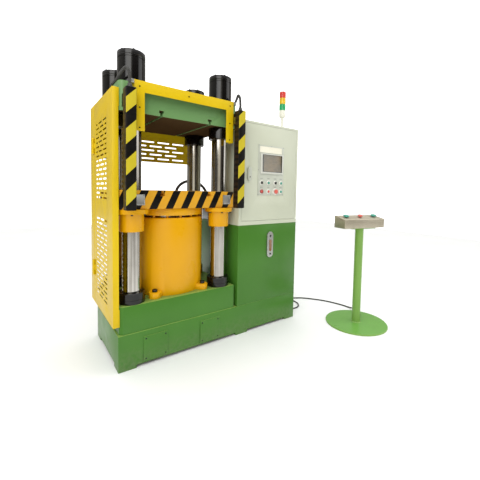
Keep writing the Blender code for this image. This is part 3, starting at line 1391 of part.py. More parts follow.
def make_rear_guard():
    """The fixed guard behind the press, with the strip at its left that carries the side guard's hinges."""
    t = SHEET
    front = GUARD_HINGE_Y + GUARD_HINGE_GAP
    low, high = (GUARD_X, front, GUARD_BOTTOM), (GUARD_X + t, GUARD_BACK, GUARD_TOP)
    guard = box("rear_guard", low, high, GUARD_YELLOW)
    right = BED_RIGHT + 2 * t
    panel = box("rear_panel", (GUARD_X, GUARD_BACK - t, REAR_GUARD_BOTTOM), (right, GUARD_BACK, GUARD_TOP))
    overlap = 4 * t
    rib = box(
        "strip_return", (GUARD_X, GUARD_BACK - t, GUARD_BOTTOM),
        (GUARD_X + STRIP_RETURN, GUARD_BACK, REAR_GUARD_BOTTOM + overlap),
    )
    r = SPACER_RADIUS
    start, end = GUARD_X + t / 2, BED_LEFT - GAP
    low, high = BED_TOP - 3 * r, CROWN_BOTTOM + 6 * r
    places = [((start + end) / 2, BED_BACK - 3 * r, z) for z in (low, high)]
    side = rods("strip_spacers", places, r, end - start, axis="X", steps=10)
    start, end = BED_BACK + GAP, GUARD_BACK - t / 2
    level = GUARD_TOP - REAR_SPACER_SHARE * REAR_GUARD_HEIGHT
    places = [(x, (start + end) / 2, level) for x in COLUMN_X]
    rear = rods("panel_spacers", places, r, end - start, axis="Y", steps=10)
    slots = []
    for row in range(REAR_SLOT_ROWS):
        shift = 0.5 * REAR_SLOT_PITCH * (row % 2)
        level = REAR_GUARD_BOTTOM + REAR_SLOT_FIRST_SHARE * REAR_GUARD_HEIGHT + row * REAR_SLOT_ROW_PITCH
        slots += [
            (REAR_SLOT_LEFT + shift + i * REAR_SLOT_PITCH, level, REAR_SLOT_LENGTH)
            for i in range(REAR_SLOT_COLUMNS - row % 2)
        ]
    join(guard, panel, rib)
    cut(guard, slot_cutters("rear_slots", slots, SLOT_HEIGHT, (0, GUARD_BACK, 0), "Y"))
    join(guard, side, rear)
    for i, z in enumerate(GUARD_HINGE_Z):
        join(guard, *knuckles(f"strip_hinge_{i}", guard_hinge_parts(z, False), 1))
    length = GUARD_HINGE_HEIGHT - 0.5 * GUARD_PIN
    pins = rods(
        "guard_pins", [(GUARD_HINGE_X, GUARD_HINGE_Y, z + GUARD_HINGE_HEIGHT / 2) for z in GUARD_HINGE_Z],
        GUARD_PIN, length, steps=12,
    )
    join(guard, pins)


# Two-hand control stand

BOX_BOTTOM = POLE_TOP + STAND_PLATE + GAP
BOX_TILT = math.atan((BOX_BACK_HEIGHT - BOX_FRONT_HEIGHT) / BOX_DEPTH)
BOX_MIDDLE_HEIGHT = (BOX_FRONT_HEIGHT + BOX_BACK_HEIGHT) / 2


def make_stand():
    t, r, pole, weld = DISC_THICKNESS, DISC_RADIUS, POLE_RADIUS, STAND_WELD
    top = POLE_TOP + STAND_PLATE / 6
    edge = TURNED_CHAMFER
    profile = [
        (0, top), (pole, top), (pole, t + weld), (pole + weld, t), (r - edge, t), (r, t - edge), (r, 0),
        (0, 0),
    ]
    stand = turned("control_stand", profile, BASE_GREEN, (STAND_X, STAND_Y, 0), 32)
    half_x, half_y = STAND_PLATE_WIDTH / 2, STAND_PLATE_DEPTH / 2
    low, high = (-half_x, -half_y, 0), (half_x, half_y, STAND_PLATE)
    plate = box("stand_plate", low, high, origin=(STAND_X, STAND_Y, POLE_TOP), turn=STAND_TURN)
    reach = POLE_RADIUS + STAND_GLAND_LENGTH
    where = (STAND_X, STAND_Y, STAND_GLAND_Z)
    gland = rods("stand_gland", [(0, 0, reach / 2)], STAND_GLAND_RADIUS, reach, steps=12, origin=where)
    gland.rotation_euler = (0, math.pi / 2, math.radians(STAND_GLAND_TURN))
    join(stand, plate, gland)


def place_on_lid(made, across):
    """Puts a control on the sloping lid, with its Z pointing out of the lid."""
    turn = Matrix.Rotation(math.radians(STAND_TURN), 4, "Z")
    lid = Matrix.Translation((across, 0, BOX_MIDDLE_HEIGHT)) @ Matrix.Rotation(BOX_TILT, 4, "X")
    made.matrix_basis = Matrix.Translation((STAND_X, STAND_Y, BOX_BOTTOM)) @ turn @ lid
    return made


def make_control_box():
    half = BOX_DEPTH / 2
    outline = [(-half, 0), (half, 0), (half, BOX_BACK_HEIGHT), (-half, BOX_FRONT_HEIGHT)]
    where = (STAND_X, STAND_Y, BOX_BOTTOM)
    case = extruded("control_box", outline, BOX_WIDTH, BOX_GREY, where, axis="X", turn=STAND_TURN)
    round_edges(case, BOX_EDGE, 2)
    for across, side in ((-PALM_SPACING / 2, "left"), (0, "middle"), (PALM_SPACING / 2, "right")):
        well = rods(f"box_well_{side}", [(0, 0, 0)], PALM_STEM + RUNNING_GAP, PALM_WELL, steps=CONTROL_STEPS)
        cut(case, place_on_lid(well, across))


def mushroom(name, across, look, radius):
    """A mushroom button on its stem, clear of the lid by its travel."""
    under = PALM_TRAVEL + 0.002
    height, foot = PALM_HEIGHT, -PALM_STEM_LENGTH
    top = under + height
    profile = [
        (0, top), (radius * 0.55, top - height * 0.08), (radius * 0.85, top - height * 0.3),
        (radius, top - height * 0.7), (radius * 0.94, under), (PALM_STEM, under), (PALM_STEM, foot),
        (0, foot),
    ]
    return place_on_lid(turned(name, profile, look, steps=16), across)


def make_stand_controls():
    mushroom("palm_button_left", -PALM_SPACING / 2, GREEN_PLASTIC, PALM_RADIUS)
    mushroom("palm_button_right", PALM_SPACING / 2, GREEN_PLASTIC, PALM_RADIUS)
    mushroom("stand_stop", 0, RED_PLASTIC, STAND_STOP_RADIUS)


def cable_route():
    """The cable's own points: out of the base, down to the floor, a loop behind the tank's edge, over the
    disc's rim and up to the gland on the pole."""
    floor = CABLE_RADIUS + GAP
    on_disc = DISC_THICKNESS + CABLE_RADIUS + GAP
    x, y, z = BASE_LENGTH + CABLE_GLAND_LENGTH + GAP, CABLE_GLAND_Y, CABLE_GLAND_Z
    angle = math.radians(STAND_GLAND_TURN)
    way = Vector((math.cos(angle), math.sin(angle), 0))
    gland = Vector((STAND_X, STAND_Y, STAND_GLAND_Z)) + way * (POLE_RADIUS + STAND_GLAND_LENGTH + GAP)
    out = gland + way * 0.038
    rim_x, rim_y = STAND_X + DISC_RADIUS, STAND_Y + DISC_RADIUS
    return [
        (x, y, z), (x + 0.014, y, z), (x + 0.028, y, z - 0.001), (x + 0.052, y - 0.004, z - 0.022),
        (x + 0.064, y - 0.012, z - 0.062), (x + 0.080, y - 0.028, z - 0.094),
        (x + 0.1077, y - 0.047, floor), (x + 0.1537, y - 0.043, floor), (x + 0.2037, y - 0.016, floor),
        (x + 0.2387, y + 0.036, floor), (x + 0.2517, y + 0.096, floor), (x + 0.2687, y + 0.148, floor),
        (x + 0.3087, y + 0.161, floor), (x + 0.3857, y + 0.114, floor), (x + 0.4447, y + 0.045, floor),
        (rim_x - 0.086, rim_y + 0.260, floor), (rim_x - 0.035, rim_y + 0.130, floor),
        (rim_x - 0.016, rim_y, floor),
        (rim_x - 0.042, rim_y - 0.112, on_disc + 0.004), (rim_x - 0.090, rim_y - 0.180, on_disc),
        (rim_x - 0.130, out.y + 0.012, on_disc + 0.012), tuple(out - Vector((0, 0, 0.004))),
        tuple(gland + way * 0.020), tuple(gland),
    ]


def make_cable():
    tube("control_cable", smooth_route(cable_route(), CABLE_POINTS), CABLE_RADIUS, RUBBER)


make_base()
make_covers()
make_columns()
make_column_nuts()
make_crown()
make_platen()
make_bushings()
make_cylinder()
make_gland_ring()
make_packing_seal()
make_ram()
make_trim_frame()
make_posts()
make_conduits()
make_tank()
make_gauge()
make_breather()
make_cabinet()
make_door()
make_control_plate()
make_screen()
make_controls()
make_lock()
make_equipment()
make_signal()
make_motor()
make_pump()
make_valve_block()
make_hose()
make_side_guard()
make_rear_guard()
make_stand()
make_control_box()
make_stand_controls()
make_cable()
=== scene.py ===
# %% [markdown]
# A four-column hydraulic press, dressed from its CAD frame
#
# The press moulds parts between two mould halves. Its cylinder stands in the bed and pushes the striped
# platen up along four chromed columns, against a crown that never moves. Beside it stand the oil tank,
# the electrical cabinet and a two-hand control stand on a loose cable.
#
# The frame comes in with every part at its real place in metres, so each new piece below is modelled
# where the CAD says. All lengths in the script are in metres, like the frame's.

import json
import math
from functools import partial

import bpy
from mathutils import Matrix, Vector

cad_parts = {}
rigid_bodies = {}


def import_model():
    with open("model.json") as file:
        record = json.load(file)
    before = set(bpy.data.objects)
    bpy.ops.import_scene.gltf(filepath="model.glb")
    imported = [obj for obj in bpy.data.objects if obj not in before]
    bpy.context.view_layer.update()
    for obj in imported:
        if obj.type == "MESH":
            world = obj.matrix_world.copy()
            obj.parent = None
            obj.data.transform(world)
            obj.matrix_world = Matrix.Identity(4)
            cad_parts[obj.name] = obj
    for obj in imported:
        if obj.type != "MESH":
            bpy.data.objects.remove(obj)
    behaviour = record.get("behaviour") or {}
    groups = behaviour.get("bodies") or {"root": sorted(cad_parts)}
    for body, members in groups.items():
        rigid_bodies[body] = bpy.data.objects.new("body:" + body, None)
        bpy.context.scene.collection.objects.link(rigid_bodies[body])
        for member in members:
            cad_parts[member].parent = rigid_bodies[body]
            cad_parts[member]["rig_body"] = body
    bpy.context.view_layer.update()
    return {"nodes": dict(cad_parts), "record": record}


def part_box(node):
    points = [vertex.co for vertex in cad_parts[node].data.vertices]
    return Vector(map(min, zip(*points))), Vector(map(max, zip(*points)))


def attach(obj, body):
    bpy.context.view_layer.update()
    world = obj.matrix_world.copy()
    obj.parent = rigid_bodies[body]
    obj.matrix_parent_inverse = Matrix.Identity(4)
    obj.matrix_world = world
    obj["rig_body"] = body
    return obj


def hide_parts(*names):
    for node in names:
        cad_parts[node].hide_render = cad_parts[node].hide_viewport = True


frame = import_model()

# %% [markdown]
# The drawing of the press measures from the base's front left foot: x to the right along the front, y to
# the back, z up. The frame's own origin is under the middle of the whole object. One function moves a
# drawing point to the frame, and another reads a CAD part's box as drawing points, so every place below
# can be read off the drawing or off the part it belongs to.

# %% A point of the drawing, in the frame
CORNER = Vector(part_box("base_frame")[0])
CORNER.z = 0.0


def at(x, y, z):
    """A point that is measured from the base's front left foot, in the frame."""
    return CORNER + Vector((x, y, z))


def box(node):
    """The lowest and the highest corner of a CAD node, as points of the drawing."""
    low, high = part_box(node)
    return low - CORNER, high - CORNER


def centre(node):
    """The x and y of the middle of a CAD node, in the drawing."""
    low, high = box(node)
    return (low.x + high.x) / 2, (low.y + high.y) / 2


GAP = 0.0003
print("front left foot at", [round(v, 4) for v in CORNER], "and parts stand", GAP, "m apart")

# %% [markdown]
# The camera stands where the photographer stood, 1.15 m above the floor, to the left of the press and
# close to it. Its lens is wide, so the crown and the cabinet lean together with distance. The place, turn
# and lens were solved from about sixty corners of the press.

# %% The camera
EYE = (-0.467, -1.9207, 1.15)
camera_data = bpy.data.cameras.new("camera")
camera_data.lens = 22.647
camera_data.sensor_width = 36.0
camera_data.shift_x = -0.01614
camera_data.shift_y = -0.06795
camera = bpy.data.objects.new("camera", camera_data)
bpy.context.scene.collection.objects.link(camera)

yaw, pitch, roll = (math.radians(angle) for angle in (-37.0032, -3.1043, 1.1209))
forward = Vector((-math.sin(yaw) * math.cos(pitch), math.cos(yaw) * math.cos(pitch), math.sin(pitch)))
right = Vector((math.cos(yaw), math.sin(yaw), 0.0))
up = right.cross(forward)
side = math.cos(roll) * right + math.sin(roll) * up
head = -math.sin(roll) * right + math.cos(roll) * up
turn = Matrix((side, head, -forward)).transposed()
camera.matrix_world = Matrix.Translation(at(*EYE)) @ turn.to_4x4()
bpy.context.scene.camera = camera
print("camera at", [round(v, 3) for v in camera.matrix_world.translation])

# %% [markdown]
# Four lines run between the parts: the stand's cable, the pressure hose and two conduits. Each is a fixed
# length of something bendy, so each is one smooth curve through the points of its route. Those are the
# points that the CAD solids follow, so the lines meet their glands and fittings exactly.

# %% A smooth route through its own points
STEPS = 24


def smooth_route(points, count):
    """Evenly spaced points on a smooth curve that passes through the points given."""
    points = [Vector(p) for p in points]
    fine = []
    for i in range(len(points) - 1):
        before = points[max(i - 1, 0)]
        after = points[min(i + 2, len(points) - 1)]
        a, b = points[i], points[i + 1]
        for k in range(STEPS):
            t = k / STEPS
            square = (2 * before - 5 * a + 4 * b - after) * t**2
            cube = (3 * a - before - 3 * b + after) * t**3
            fine.append(0.5 * (2 * a + (b - before) * t + square + cube))
    fine.append(points[-1])
    along = [0.0]
    for first, second in zip(fine, fine[1:]):
        along.append(along[-1] + (second - first).length)
    even, k = [], 0
    for i in range(count):
        want = along[-1] * i / (count - 1)
        while k < len(along) - 2 and along[k + 1] < want:
            k += 1
        share = (want - along[k]) / (along[k + 1] - along[k])
        even.append(fine[k].lerp(fine[k + 1], min(share, 1.0)))
    return even


def length_of(route):
    """The length of a line of points."""
    return sum((b - a).length for a, b in zip(route, route[1:]))


POLE = Vector((*centre("control_stand"), 0))
GLAND_TURN, GLAND_HEIGHT, GLAND_REACH = math.radians(20), 0.06, 0.0533
GLAND_WAY = Vector((math.cos(GLAND_TURN), math.sin(GLAND_TURN), 0))
gland = POLE + Vector((0, 0, GLAND_HEIGHT)) + GLAND_WAY * GLAND_REACH
print("the stand's gland is at", [round(v, 4) for v in gland])

# %% The four routes, in the drawing's numbers
CABLE, HOSE, CONDUIT = 0.012, 0.026, 0.018
lie = CABLE / 2 + GAP
disc_lie = lie + 0.012
out = gland + GLAND_WAY * 0.038
cable_points = [
    (1.5603, 0.17, 0.11), (1.5743, 0.17, 0.11), (1.5883, 0.17, 0.109), (1.6123, 0.166, 0.088),
    (1.6243, 0.158, 0.048), (1.6403, 0.142, 0.016), (1.668, 0.123, lie), (1.714, 0.127, lie),
    (1.764, 0.154, lie), (1.799, 0.206, lie), (1.812, 0.266, lie), (1.829, 0.318, lie), (1.869, 0.331, lie),
    (1.946, 0.284, lie), (2.005, 0.215, lie), (2.074, 0.11, lie), (2.125, -0.02, lie), (2.144, -0.15, lie),
    (2.118, -0.262, disc_lie + 0.004), (2.07, -0.33, disc_lie), (2.03, out.y + 0.012, disc_lie + 0.012),
    tuple(out - Vector((0, 0, 0.004))), tuple(gland + GLAND_WAY * 0.02), tuple(gland),
]
hose_points = [
    (0.94, 0.585, 1.0273), (0.94, 0.585, 1.0653), (0.938, 0.598, 1.123), (0.912, 0.617, 1.178),
    (0.865, 0.64, 1.217), (0.8, 0.66, 1.233), (0.738, 0.674, 1.216), (0.692, 0.681, 1.176),
    (0.671, 0.684, 1.12), (0.66, 0.684, 1.0), (0.648, 0.678, 0.85), (0.63, 0.666, 0.73), (0.612, 0.65, 0.65),
    (0.6, 0.64, 0.605), (0.6, 0.64, 0.5753),
]
crown_lie = 1.81
left_conduit_points = [
    (0.047, -0.0875, 1.7323), (0.047, -0.0875, 1.756), (0.047, -0.0875, 1.78), (0.044, -0.0755, 1.831),
    (0.035, -0.0425, 1.857), (0.021, 0.0025, 1.837), (0.012, 0.0475, 1.813), (0.012, 0.11, crown_lie),
    (0.012, 0.18, crown_lie), (0.022, 0.24, crown_lie), (0.067, 0.285, crown_lie), (0.16, 0.3, crown_lie),
    (0.4, 0.3, crown_lie), (0.64, 0.3, crown_lie), (0.82, 0.3, crown_lie), (0.868, 0.3, 1.811),
    (0.902, 0.3, 1.804), (0.93, 0.3, 1.778), (0.942, 0.3, 1.7493), (0.942, 0.3, 1.7273), (0.942, 0.3, 1.7053),
]
right_conduit_points = [
    (0.829, -0.0875, 1.7323), (0.829, -0.0875, 1.756), (0.829, -0.0875, 1.78), (0.832, -0.0755, 1.831),
    (0.839, -0.0425, 1.857), (0.855, 0.0025, 1.837), (0.864, 0.0475, 1.813), (0.864, 0.1, crown_lie),
    (0.869, 0.15, 1.811), (0.888, 0.186, crown_lie), (0.915, 0.214, 1.792), (0.935, 0.232, 1.77),
    (0.942, 0.238, 1.7493), (0.942, 0.238, 1.7273), (0.942, 0.238, 1.7053),
]
print("routes of", len(cable_points), "and", len(hose_points), "points, and two for the conduits")

# %% [markdown]
# The stand's cable is 12 mm of black control cable, the hose 26 mm of rubber over steel braid. The
# conduits are corrugated plastic tube, so their outside swells and narrows every 5 mm: a curve can hold a
# radius at each of its points, and every second point is drawn a little thinner. The bevel's own depth is
# one metre, so a point's radius is the cord's radius in metres, and the curve's box is as small as the cord.

# %% Cords as curves
GROOVE = 0.84


def cord(name, node, points, count, diameter, ribbed=False):
    """One open curve along a route, which takes the place of its CAD node, now hidden."""
    route = [at(p.x, p.y, max(p.z, lie)) for p in smooth_route(points, count)]
    curve = bpy.data.curves.new(name, "CURVE")
    curve.dimensions = "3D"
    curve.bevel_depth = 1.0
    curve.bevel_resolution = 4
    curve.use_fill_caps = True
    line = curve.splines.new("POLY")
    line.points.add(len(route) - 1)
    for i, (point, place) in enumerate(zip(line.points, route)):
        point.co = (*place, 1)
        point.radius = diameter / 2 * (GROOVE if ribbed and i % 2 else 1.0)
    line.use_smooth = not ribbed
    made = bpy.data.objects.new(name, curve)
    bpy.context.scene.collection.objects.link(made)
    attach(made, "frame")
    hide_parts(node)
    print(name, "is", round(length_of(route), 3), "m long")
    return made


cable = cord("stand_cable", "control_cable", cable_points, 240, CABLE)
hose = cord("oil_hose", "pressure_hose", hose_points, 160, HOSE)
conduits = [
    cord(f"corrugated_conduit_{hand}", f"conduit_{hand}", points, count, CONDUIT, True)
    for hand, points, count in (("left", left_conduit_points, 601), ("right", right_conduit_points, 301))
]

# %% [markdown]
# A catalogue photograph is taken in an even white room. The floor is one pale sheet. One large soft lamp
# at the upper left draws the long highlights, and a weaker one at the right keeps the shadows open. The
# plain view transform keeps the paints as strong as they are in the photograph.

# %% Floor and light
bpy.ops.object.select_all(action="DESELECT")
FLOOR = 16.0
bpy.ops.mesh.primitive_plane_add(size=FLOOR, location=at(1.0, 0.5, 0.0))
floor = bpy.context.object
floor.name = "studio_floor"


def lamp(name, place, target, size, power):
    """A square soft lamp that faces its target."""
    data = bpy.data.lights.new(name, "AREA")
    data.size = size
    data.energy = power
    made = bpy.data.objects.new(name, data)
    bpy.context.scene.collection.objects.link(made)
    way = at(*target) - at(*place)
    made.matrix_world = Matrix.Translation(at(*place)) @ way.to_track_quat("-Z", "Y").to_matrix().to_4x4()


lamp("key_lamp", (-2.2, -2.6, 3.4), (0.6, 0.2, 1.0), 3.0, 84)
lamp("fill_lamp", (4.4, -2.4, 2.6), (1.2, 0.0, 1.0), 2.8, 40)
bpy.context.scene.view_settings.view_transform = "Standard"
print("floor and two lamps ready")

# %% [markdown]
# Every finish is built from the same few steps, so the small tools come first. Colours are written the
# way a colour chart gives them, in sRGB hex, and turned into the linear values that the shaders use. One
# function adds a node, loops add the chains of them, and each noise is given the size of its lumps in
# metres, as they are on the real surface.

# %% Small tools for materials


def srgb(code):
    """A colour chart's hex number as linear red, green, blue and alpha."""
    channels = [int(code[i : i + 2], 16) / 255 for i in (0, 2, 4)]
    return (*[c / 12.92 if c <= 0.04045 else ((c + 0.055) / 1.055) ** 2.4 for c in channels], 1.0)


def plug(value, socket):
    """Links another node's output into a socket, or sets the socket to a value or a hex colour."""
    if isinstance(value, bpy.types.NodeSocket):
        socket.id_data.links.new(value, socket)
    else:
        socket.default_value = srgb(value) if isinstance(value, str) else value


def add(tree, kind, inputs=None, out=None, **settings):
    """Adds one node with its settings and links, and gives back the node or one of its outputs."""
    made = tree.nodes.new("ShaderNode" + kind)
    for key, value in settings.items():
        setattr(made, key, value)
    for key, value in (inputs or {}).items():
        plug(value, made.inputs[key])
    return made if out is None else made.outputs[out]


def start(title):
    """A new material, the function that adds its nodes, its shader, and the point that is shaded."""
    material = bpy.data.materials.new(title)
    material.use_nodes = True
    node = partial(add, material.node_tree)
    return material, node, material.node_tree.nodes["Principled BSDF"], node("TexCoord", out="Object")


def feed(shader, **values):
    """Fills the shader's own sockets by name, from values or from other nodes."""
    for key, value in values.items():
        plug(value, shader.inputs[key.replace("_", " ")])


def lumps(node, place, size, low=0.0, high=1.0, detail=2.0):
    """A cloudy pattern whose lumps are of about the given size in metres, spread between low and high."""
    cloud = node("TexNoise", {"Vector": place, "Scale": 1 / size, "Detail": detail}, "Fac")
    return node("MapRange", {0: cloud, 1: 0.3, 2: 0.7, 3: low, 4: high}, 0)


def relief(node, place, size, depth, strength):
    """The normal of a surface with lumps of a real size and depth."""
    height = lumps(node, place, size)
    return node("Bump", {"Height": height, "Distance": depth, "Strength": strength}, "Normal")


print("tools ready: srgb, plug, add, start, feed, lumps, relief")

# %% [markdown]
# The camera sees white all round the press, as on a catalogue page. Chrome and gloss paint need more than
# that to reflect, so to them the room is grey, darker behind the photographer and white overhead, with one
# tall light strip beside the camera. The strip is what draws the bright streak down each column.

# %% The white room
STRIP_X, STRIP_HALF, STRIP_SOFT = -0.48, 0.20, 0.14
world = bpy.data.worlds.new("studio")
bpy.context.scene.world = world
world.use_nodes = True
sky = world.node_tree
node = partial(add, sky)
way = node("SeparateXYZ", {0: node("TexCoord", out="Generated")}).outputs
offset = node("Math", {0: way["X"], 1: STRIP_X}, 0, operation="SUBTRACT")
offset = node("Math", {0: offset}, 0, operation="ABSOLUTE")
strip = node("MapRange", {0: offset, 1: STRIP_HALF + STRIP_SOFT, 2: STRIP_HALF}, 0)
toward = node("MapRange", {0: way["Y"], 1: -0.2, 2: -0.5}, 0)
room = "7E7C77"
for cover, colour in (
    (node("MapRange", {0: way["Y"], 1: 0.1, 2: -0.75}, 0), "3F3C38"),
    (node("MapRange", {0: way["Z"], 1: 0.35, 2: 0.9}, 0), "FFFFFF"),
    (node("Math", {0: strip, 1: toward}, 0, operation="MULTIPLY"), "CFCBBF"),
    (node("LightPath", out="Is Camera Ray"), "FFFFFF"),
):
    room = node("Mix", {0: cover, 6: room, 7: colour}, 2, data_type="RGBA")
plug(room, sky.nodes["Background"].inputs["Color"])
sky.nodes["Background"].inputs["Strength"].default_value = 1.8
print("the white room has", len(sky.nodes), "nodes")

# %% [markdown]
# Most of the press is enamelled steel: a two-part paint, sprayed over primer. Up close it has a fine
# orange peel, 4 mm across. From further off its tone drifts a little, its edges are rubbed paler, and dust
# settles on the lowest hand's breadth. All the painted finishes share that recipe, so it is written once,
# with the gloss and the colours as its numbers, and with painted light or shade for faces that look up or
# down. A face that looks down and has a painted shade of its own also loses its gloss, so it stays dark.

# %% Sprayed enamel
PEEL, DUST_LINE = 0.004, 0.16


def enamel(title, colour, shade, gloss=0.3, rub="E9E4CF", painted_top_shading=None, painted_underside_shade=None, coat=0.1, wear=0.4,
           dust=0.3):
    """Sprayed enamel: even and slightly peeled, with drifting tone, rubbed edges, a dusty foot, and painted
    light or shade on faces that look up or down.
    """
    material, node, shader, place = start(title)
    facing = node("SeparateXYZ", {0: node("TexCoord", out="Normal")}, "Z")
    coats = [(lumps(node, place, 0.417, 0.0, 0.6, 4), shade)]
    # faces that look up or down get a colour of their own: painted light on tops, painted shade underneath
    for code, edge in ((painted_top_shading, 0.85), (painted_underside_shade, -0.85)):
        if code:
            coats.append((node("MapRange", {0: facing, 1: edge * 0.9, 2: edge * 1.1}, 0), code))
    speck = lumps(node, place, 0.0208, 0.0, 1.0, 6)
    height = node("SeparateXYZ", {0: place}, "Z")
    low = node("MapRange", {0: height, 1: DUST_LINE, 2: 0.0, 3: 0.0, 4: dust}, 0)
    rounded = node("Bevel", {"Radius": 0.003}, "Normal", samples=4)
    plain = node("NewGeometry", out="Normal")
    meet = node("VectorMath", {0: rounded, 1: plain}, "Value", operation="DOT_PRODUCT")
    edges = node("MapRange", {0: meet, 1: 0.99, 2: 0.8, 3: 0.0, 4: wear}, 0)
    for where, over in ((low, "8F8A78"), (edges, rub)):
        coats.append((node("Math", {0: where, 1: speck}, 0, operation="MULTIPLY"), over))
    base = colour
    for cover, over in coats:
        base = node("Mix", {0: cover, 6: base, 7: over}, 2, data_type="RGBA")
    # a face that looks down with a painted shade also loses its gloss, so the painted shade stays dark
    shaded_underside_specular = 0.0 if painted_underside_shade else 0.3
    shine = node("MapRange", {0: facing, 1: -0.94, 2: -0.76, 3: shaded_underside_specular, 4: 0.3}, 0)
    feed(shader, Base_Color=base, Coat_Weight=coat, Coat_Roughness=0.16, IOR=1.5,
         Roughness=lumps(node, place, 0.143, gloss - 0.05, gloss + 0.07, 4),
         Specular_IOR_Level=shine, Normal=relief(node, place, PEEL, 0.0003, 0.12))
    return material


LOOK = {
    # deep leaf green of the base and tank, paler on its steps and tops as painted light, and dark underneath
    # as painted shade
    "base_green": enamel("olive_green_enamel", "467B29", "3C6D24", 0.34, "8DB268", "7FA04C", "2F3A22"),
    # paler green of the crown, lighter on top as painted light, over a dark brown painted shade on its
    # underside
    "crown_green": enamel("pale_green_enamel", "6F9860", "678F58", 0.3, "B5CFA0", "84B06E", "4A3925", 0.0),
    # warm amber, which turns the barrel from flat to round with one soft highlight
    "cylinder_amber": enamel("amber_enamel", "E0A400", "D49800", 0.3, "F5CC5A"),
    # lemon yellow of the thin guard sheets, with hardly any wear
    "guard_yellow": enamel("gloss_yellow_enamel", "DCBC00", "CFAE00", 0.4, "F3DF50", coat=0.0, wear=0.03),
    # even ivory grey of a factory-made cabinet
    "cabinet_grey": enamel("ivory_grey_enamel", "C8CCB9", "C0C5B1", 0.34, "DEDFD0"),
    # wet-looking black of the nuts and collars, read by its long reflections
    "black_enamel": enamel("gloss_black_enamel", "070606", "0E0C0A", 0.14, "3A3632", coat=0.3),
    # dull blue grey of a bought motor
    "motor_enamel": enamel("blue_grey_motor_enamel", "5A6C76", "4E5F69", 0.42, "9AA9B0"),
}
# leaf green of the stand, whose faces that look up are painted a darker green as painted shade
stand_look = enamel("leaf_green_enamel", "7DA84E", "709C44", 0.32, "A9C884", "68A044", dust=0.05)
panel_look = enamel("satin_grey_panel_enamel", "BFC3B6", "B7BBAE", 0.3, "D5D6CC")
print(len(LOOK), "enamels:", ", ".join(LOOK))

# %% [markdown]
# The light-guard posts and the platen carry the diagonal stripes of a moving hazard. On the real press
# they are masked off and sprayed, so the stripes are part of the paint: a position along the diagonal,
# divided by the stripes' pitch, says which of two colours a point has. The posts' side walls hold the
# dark windows of the light beams instead, one every 40 mm.

# %% Masked stripes
FRONT_FACE = -0.6
BEAM_PITCH, BEAM_HALF = 0.04, 0.22


def striped(title, colour, pitch, share, slant, phase, gloss, sides=None):
    """Two sprayed colours in diagonal bands on the front face, and one colour on the other faces."""
    material, node, shader, place = start(title)
    axes = node("SeparateXYZ", {0: place}).outputs
    shift = node("Math", {0: axes["Z"], 1: slant}, 0, operation="MULTIPLY")
    band = axes["X"]
    for operation, second in (
        ("SUBTRACT", shift), ("SUBTRACT", phase), ("DIVIDE", pitch), ("FRACT", 0), ("LESS_THAN", share),
    ):
        band = node("Math", {0: band, 1: second}, 0, operation=operation)
    tone = lumps(node, place, 0.2, 0.0, 0.16, 4)
    light = node("Mix", {0: tone, 6: colour, 7: "6E5A20"}, 2, data_type="RGBA")
    front = node("Mix", {0: band, 6: light, 7: "080706"}, 2, data_type="RGBA")
    base = light
    if sides:
        window = axes["Z"]
        for operation, second in (
            ("DIVIDE", BEAM_PITCH), ("FRACT", 0), ("SUBTRACT", 0.5), ("ABSOLUTE", 0),
            ("LESS_THAN", BEAM_HALF),
        ):
            window = node("Math", {0: window, 1: second}, 0, operation=operation)
        base = node("Mix", {0: window, 6: sides, 7: "0C0B0A"}, 2, data_type="RGBA")
    normal = node("SeparateXYZ", {0: node("TexCoord", out="Normal")}, "Y")
    facing = node("Math", {0: normal, 1: FRONT_FACE}, 0, operation="LESS_THAN")
    for cover, over in ((facing, front), (lumps(node, place, 0.0143, 0.0, 0.015, 6), "8C8672")):
        base = node("Mix", {0: cover, 6: base, 7: over}, 2, data_type="RGBA")
    feed(shader, Base_Color=base, IOR=1.5, Specular_IOR_Level=0.15,
         Roughness=lumps(node, place, 0.125, gloss, gloss + 0.12, 4),
         Normal=relief(node, place, PEEL, 0.0003, 0.1))
    return material


PLATEN_SLANT, PLATEN_MIDDLE = 0.48, 1.082
LOOK["platen_amber"] = striped("striped_platen_enamel", "DAA02A", 0.1105, 0.48, PLATEN_SLANT,
                               CORNER.x + 0.2303 - PLATEN_SLANT * PLATEN_MIDDLE, 0.28)
LOOK["post_yellow"] = striped("striped_left_post_enamel", "C5B42A", 0.177, 0.5, 1.0,
                              CORNER.x - 1.5623, 0.34, "2E2114")
right_post_look = striped("striped_right_post_enamel", "C5B42A", 0.181, 0.5, 1.0,
                          CORNER.x - 0.8006, 0.34, "2E2114")
print("striped paints, pitched 110 mm on the platen and about 180 mm on the posts")

# %% [markdown]
# The columns are hard chrome over ground steel: a mirror with a faint vertical drift, left by the grinding
# and by a film of oil. Machined faces keep the tool's lines. Both are metal, so the colour is the
# reflection's, and the grain is noise that is stretched along the way the tool ran. The real lines are
# finer than a tenth of a millimetre and are drawn 3 to 14 mm apart, so that they show.

# %% Bare metals


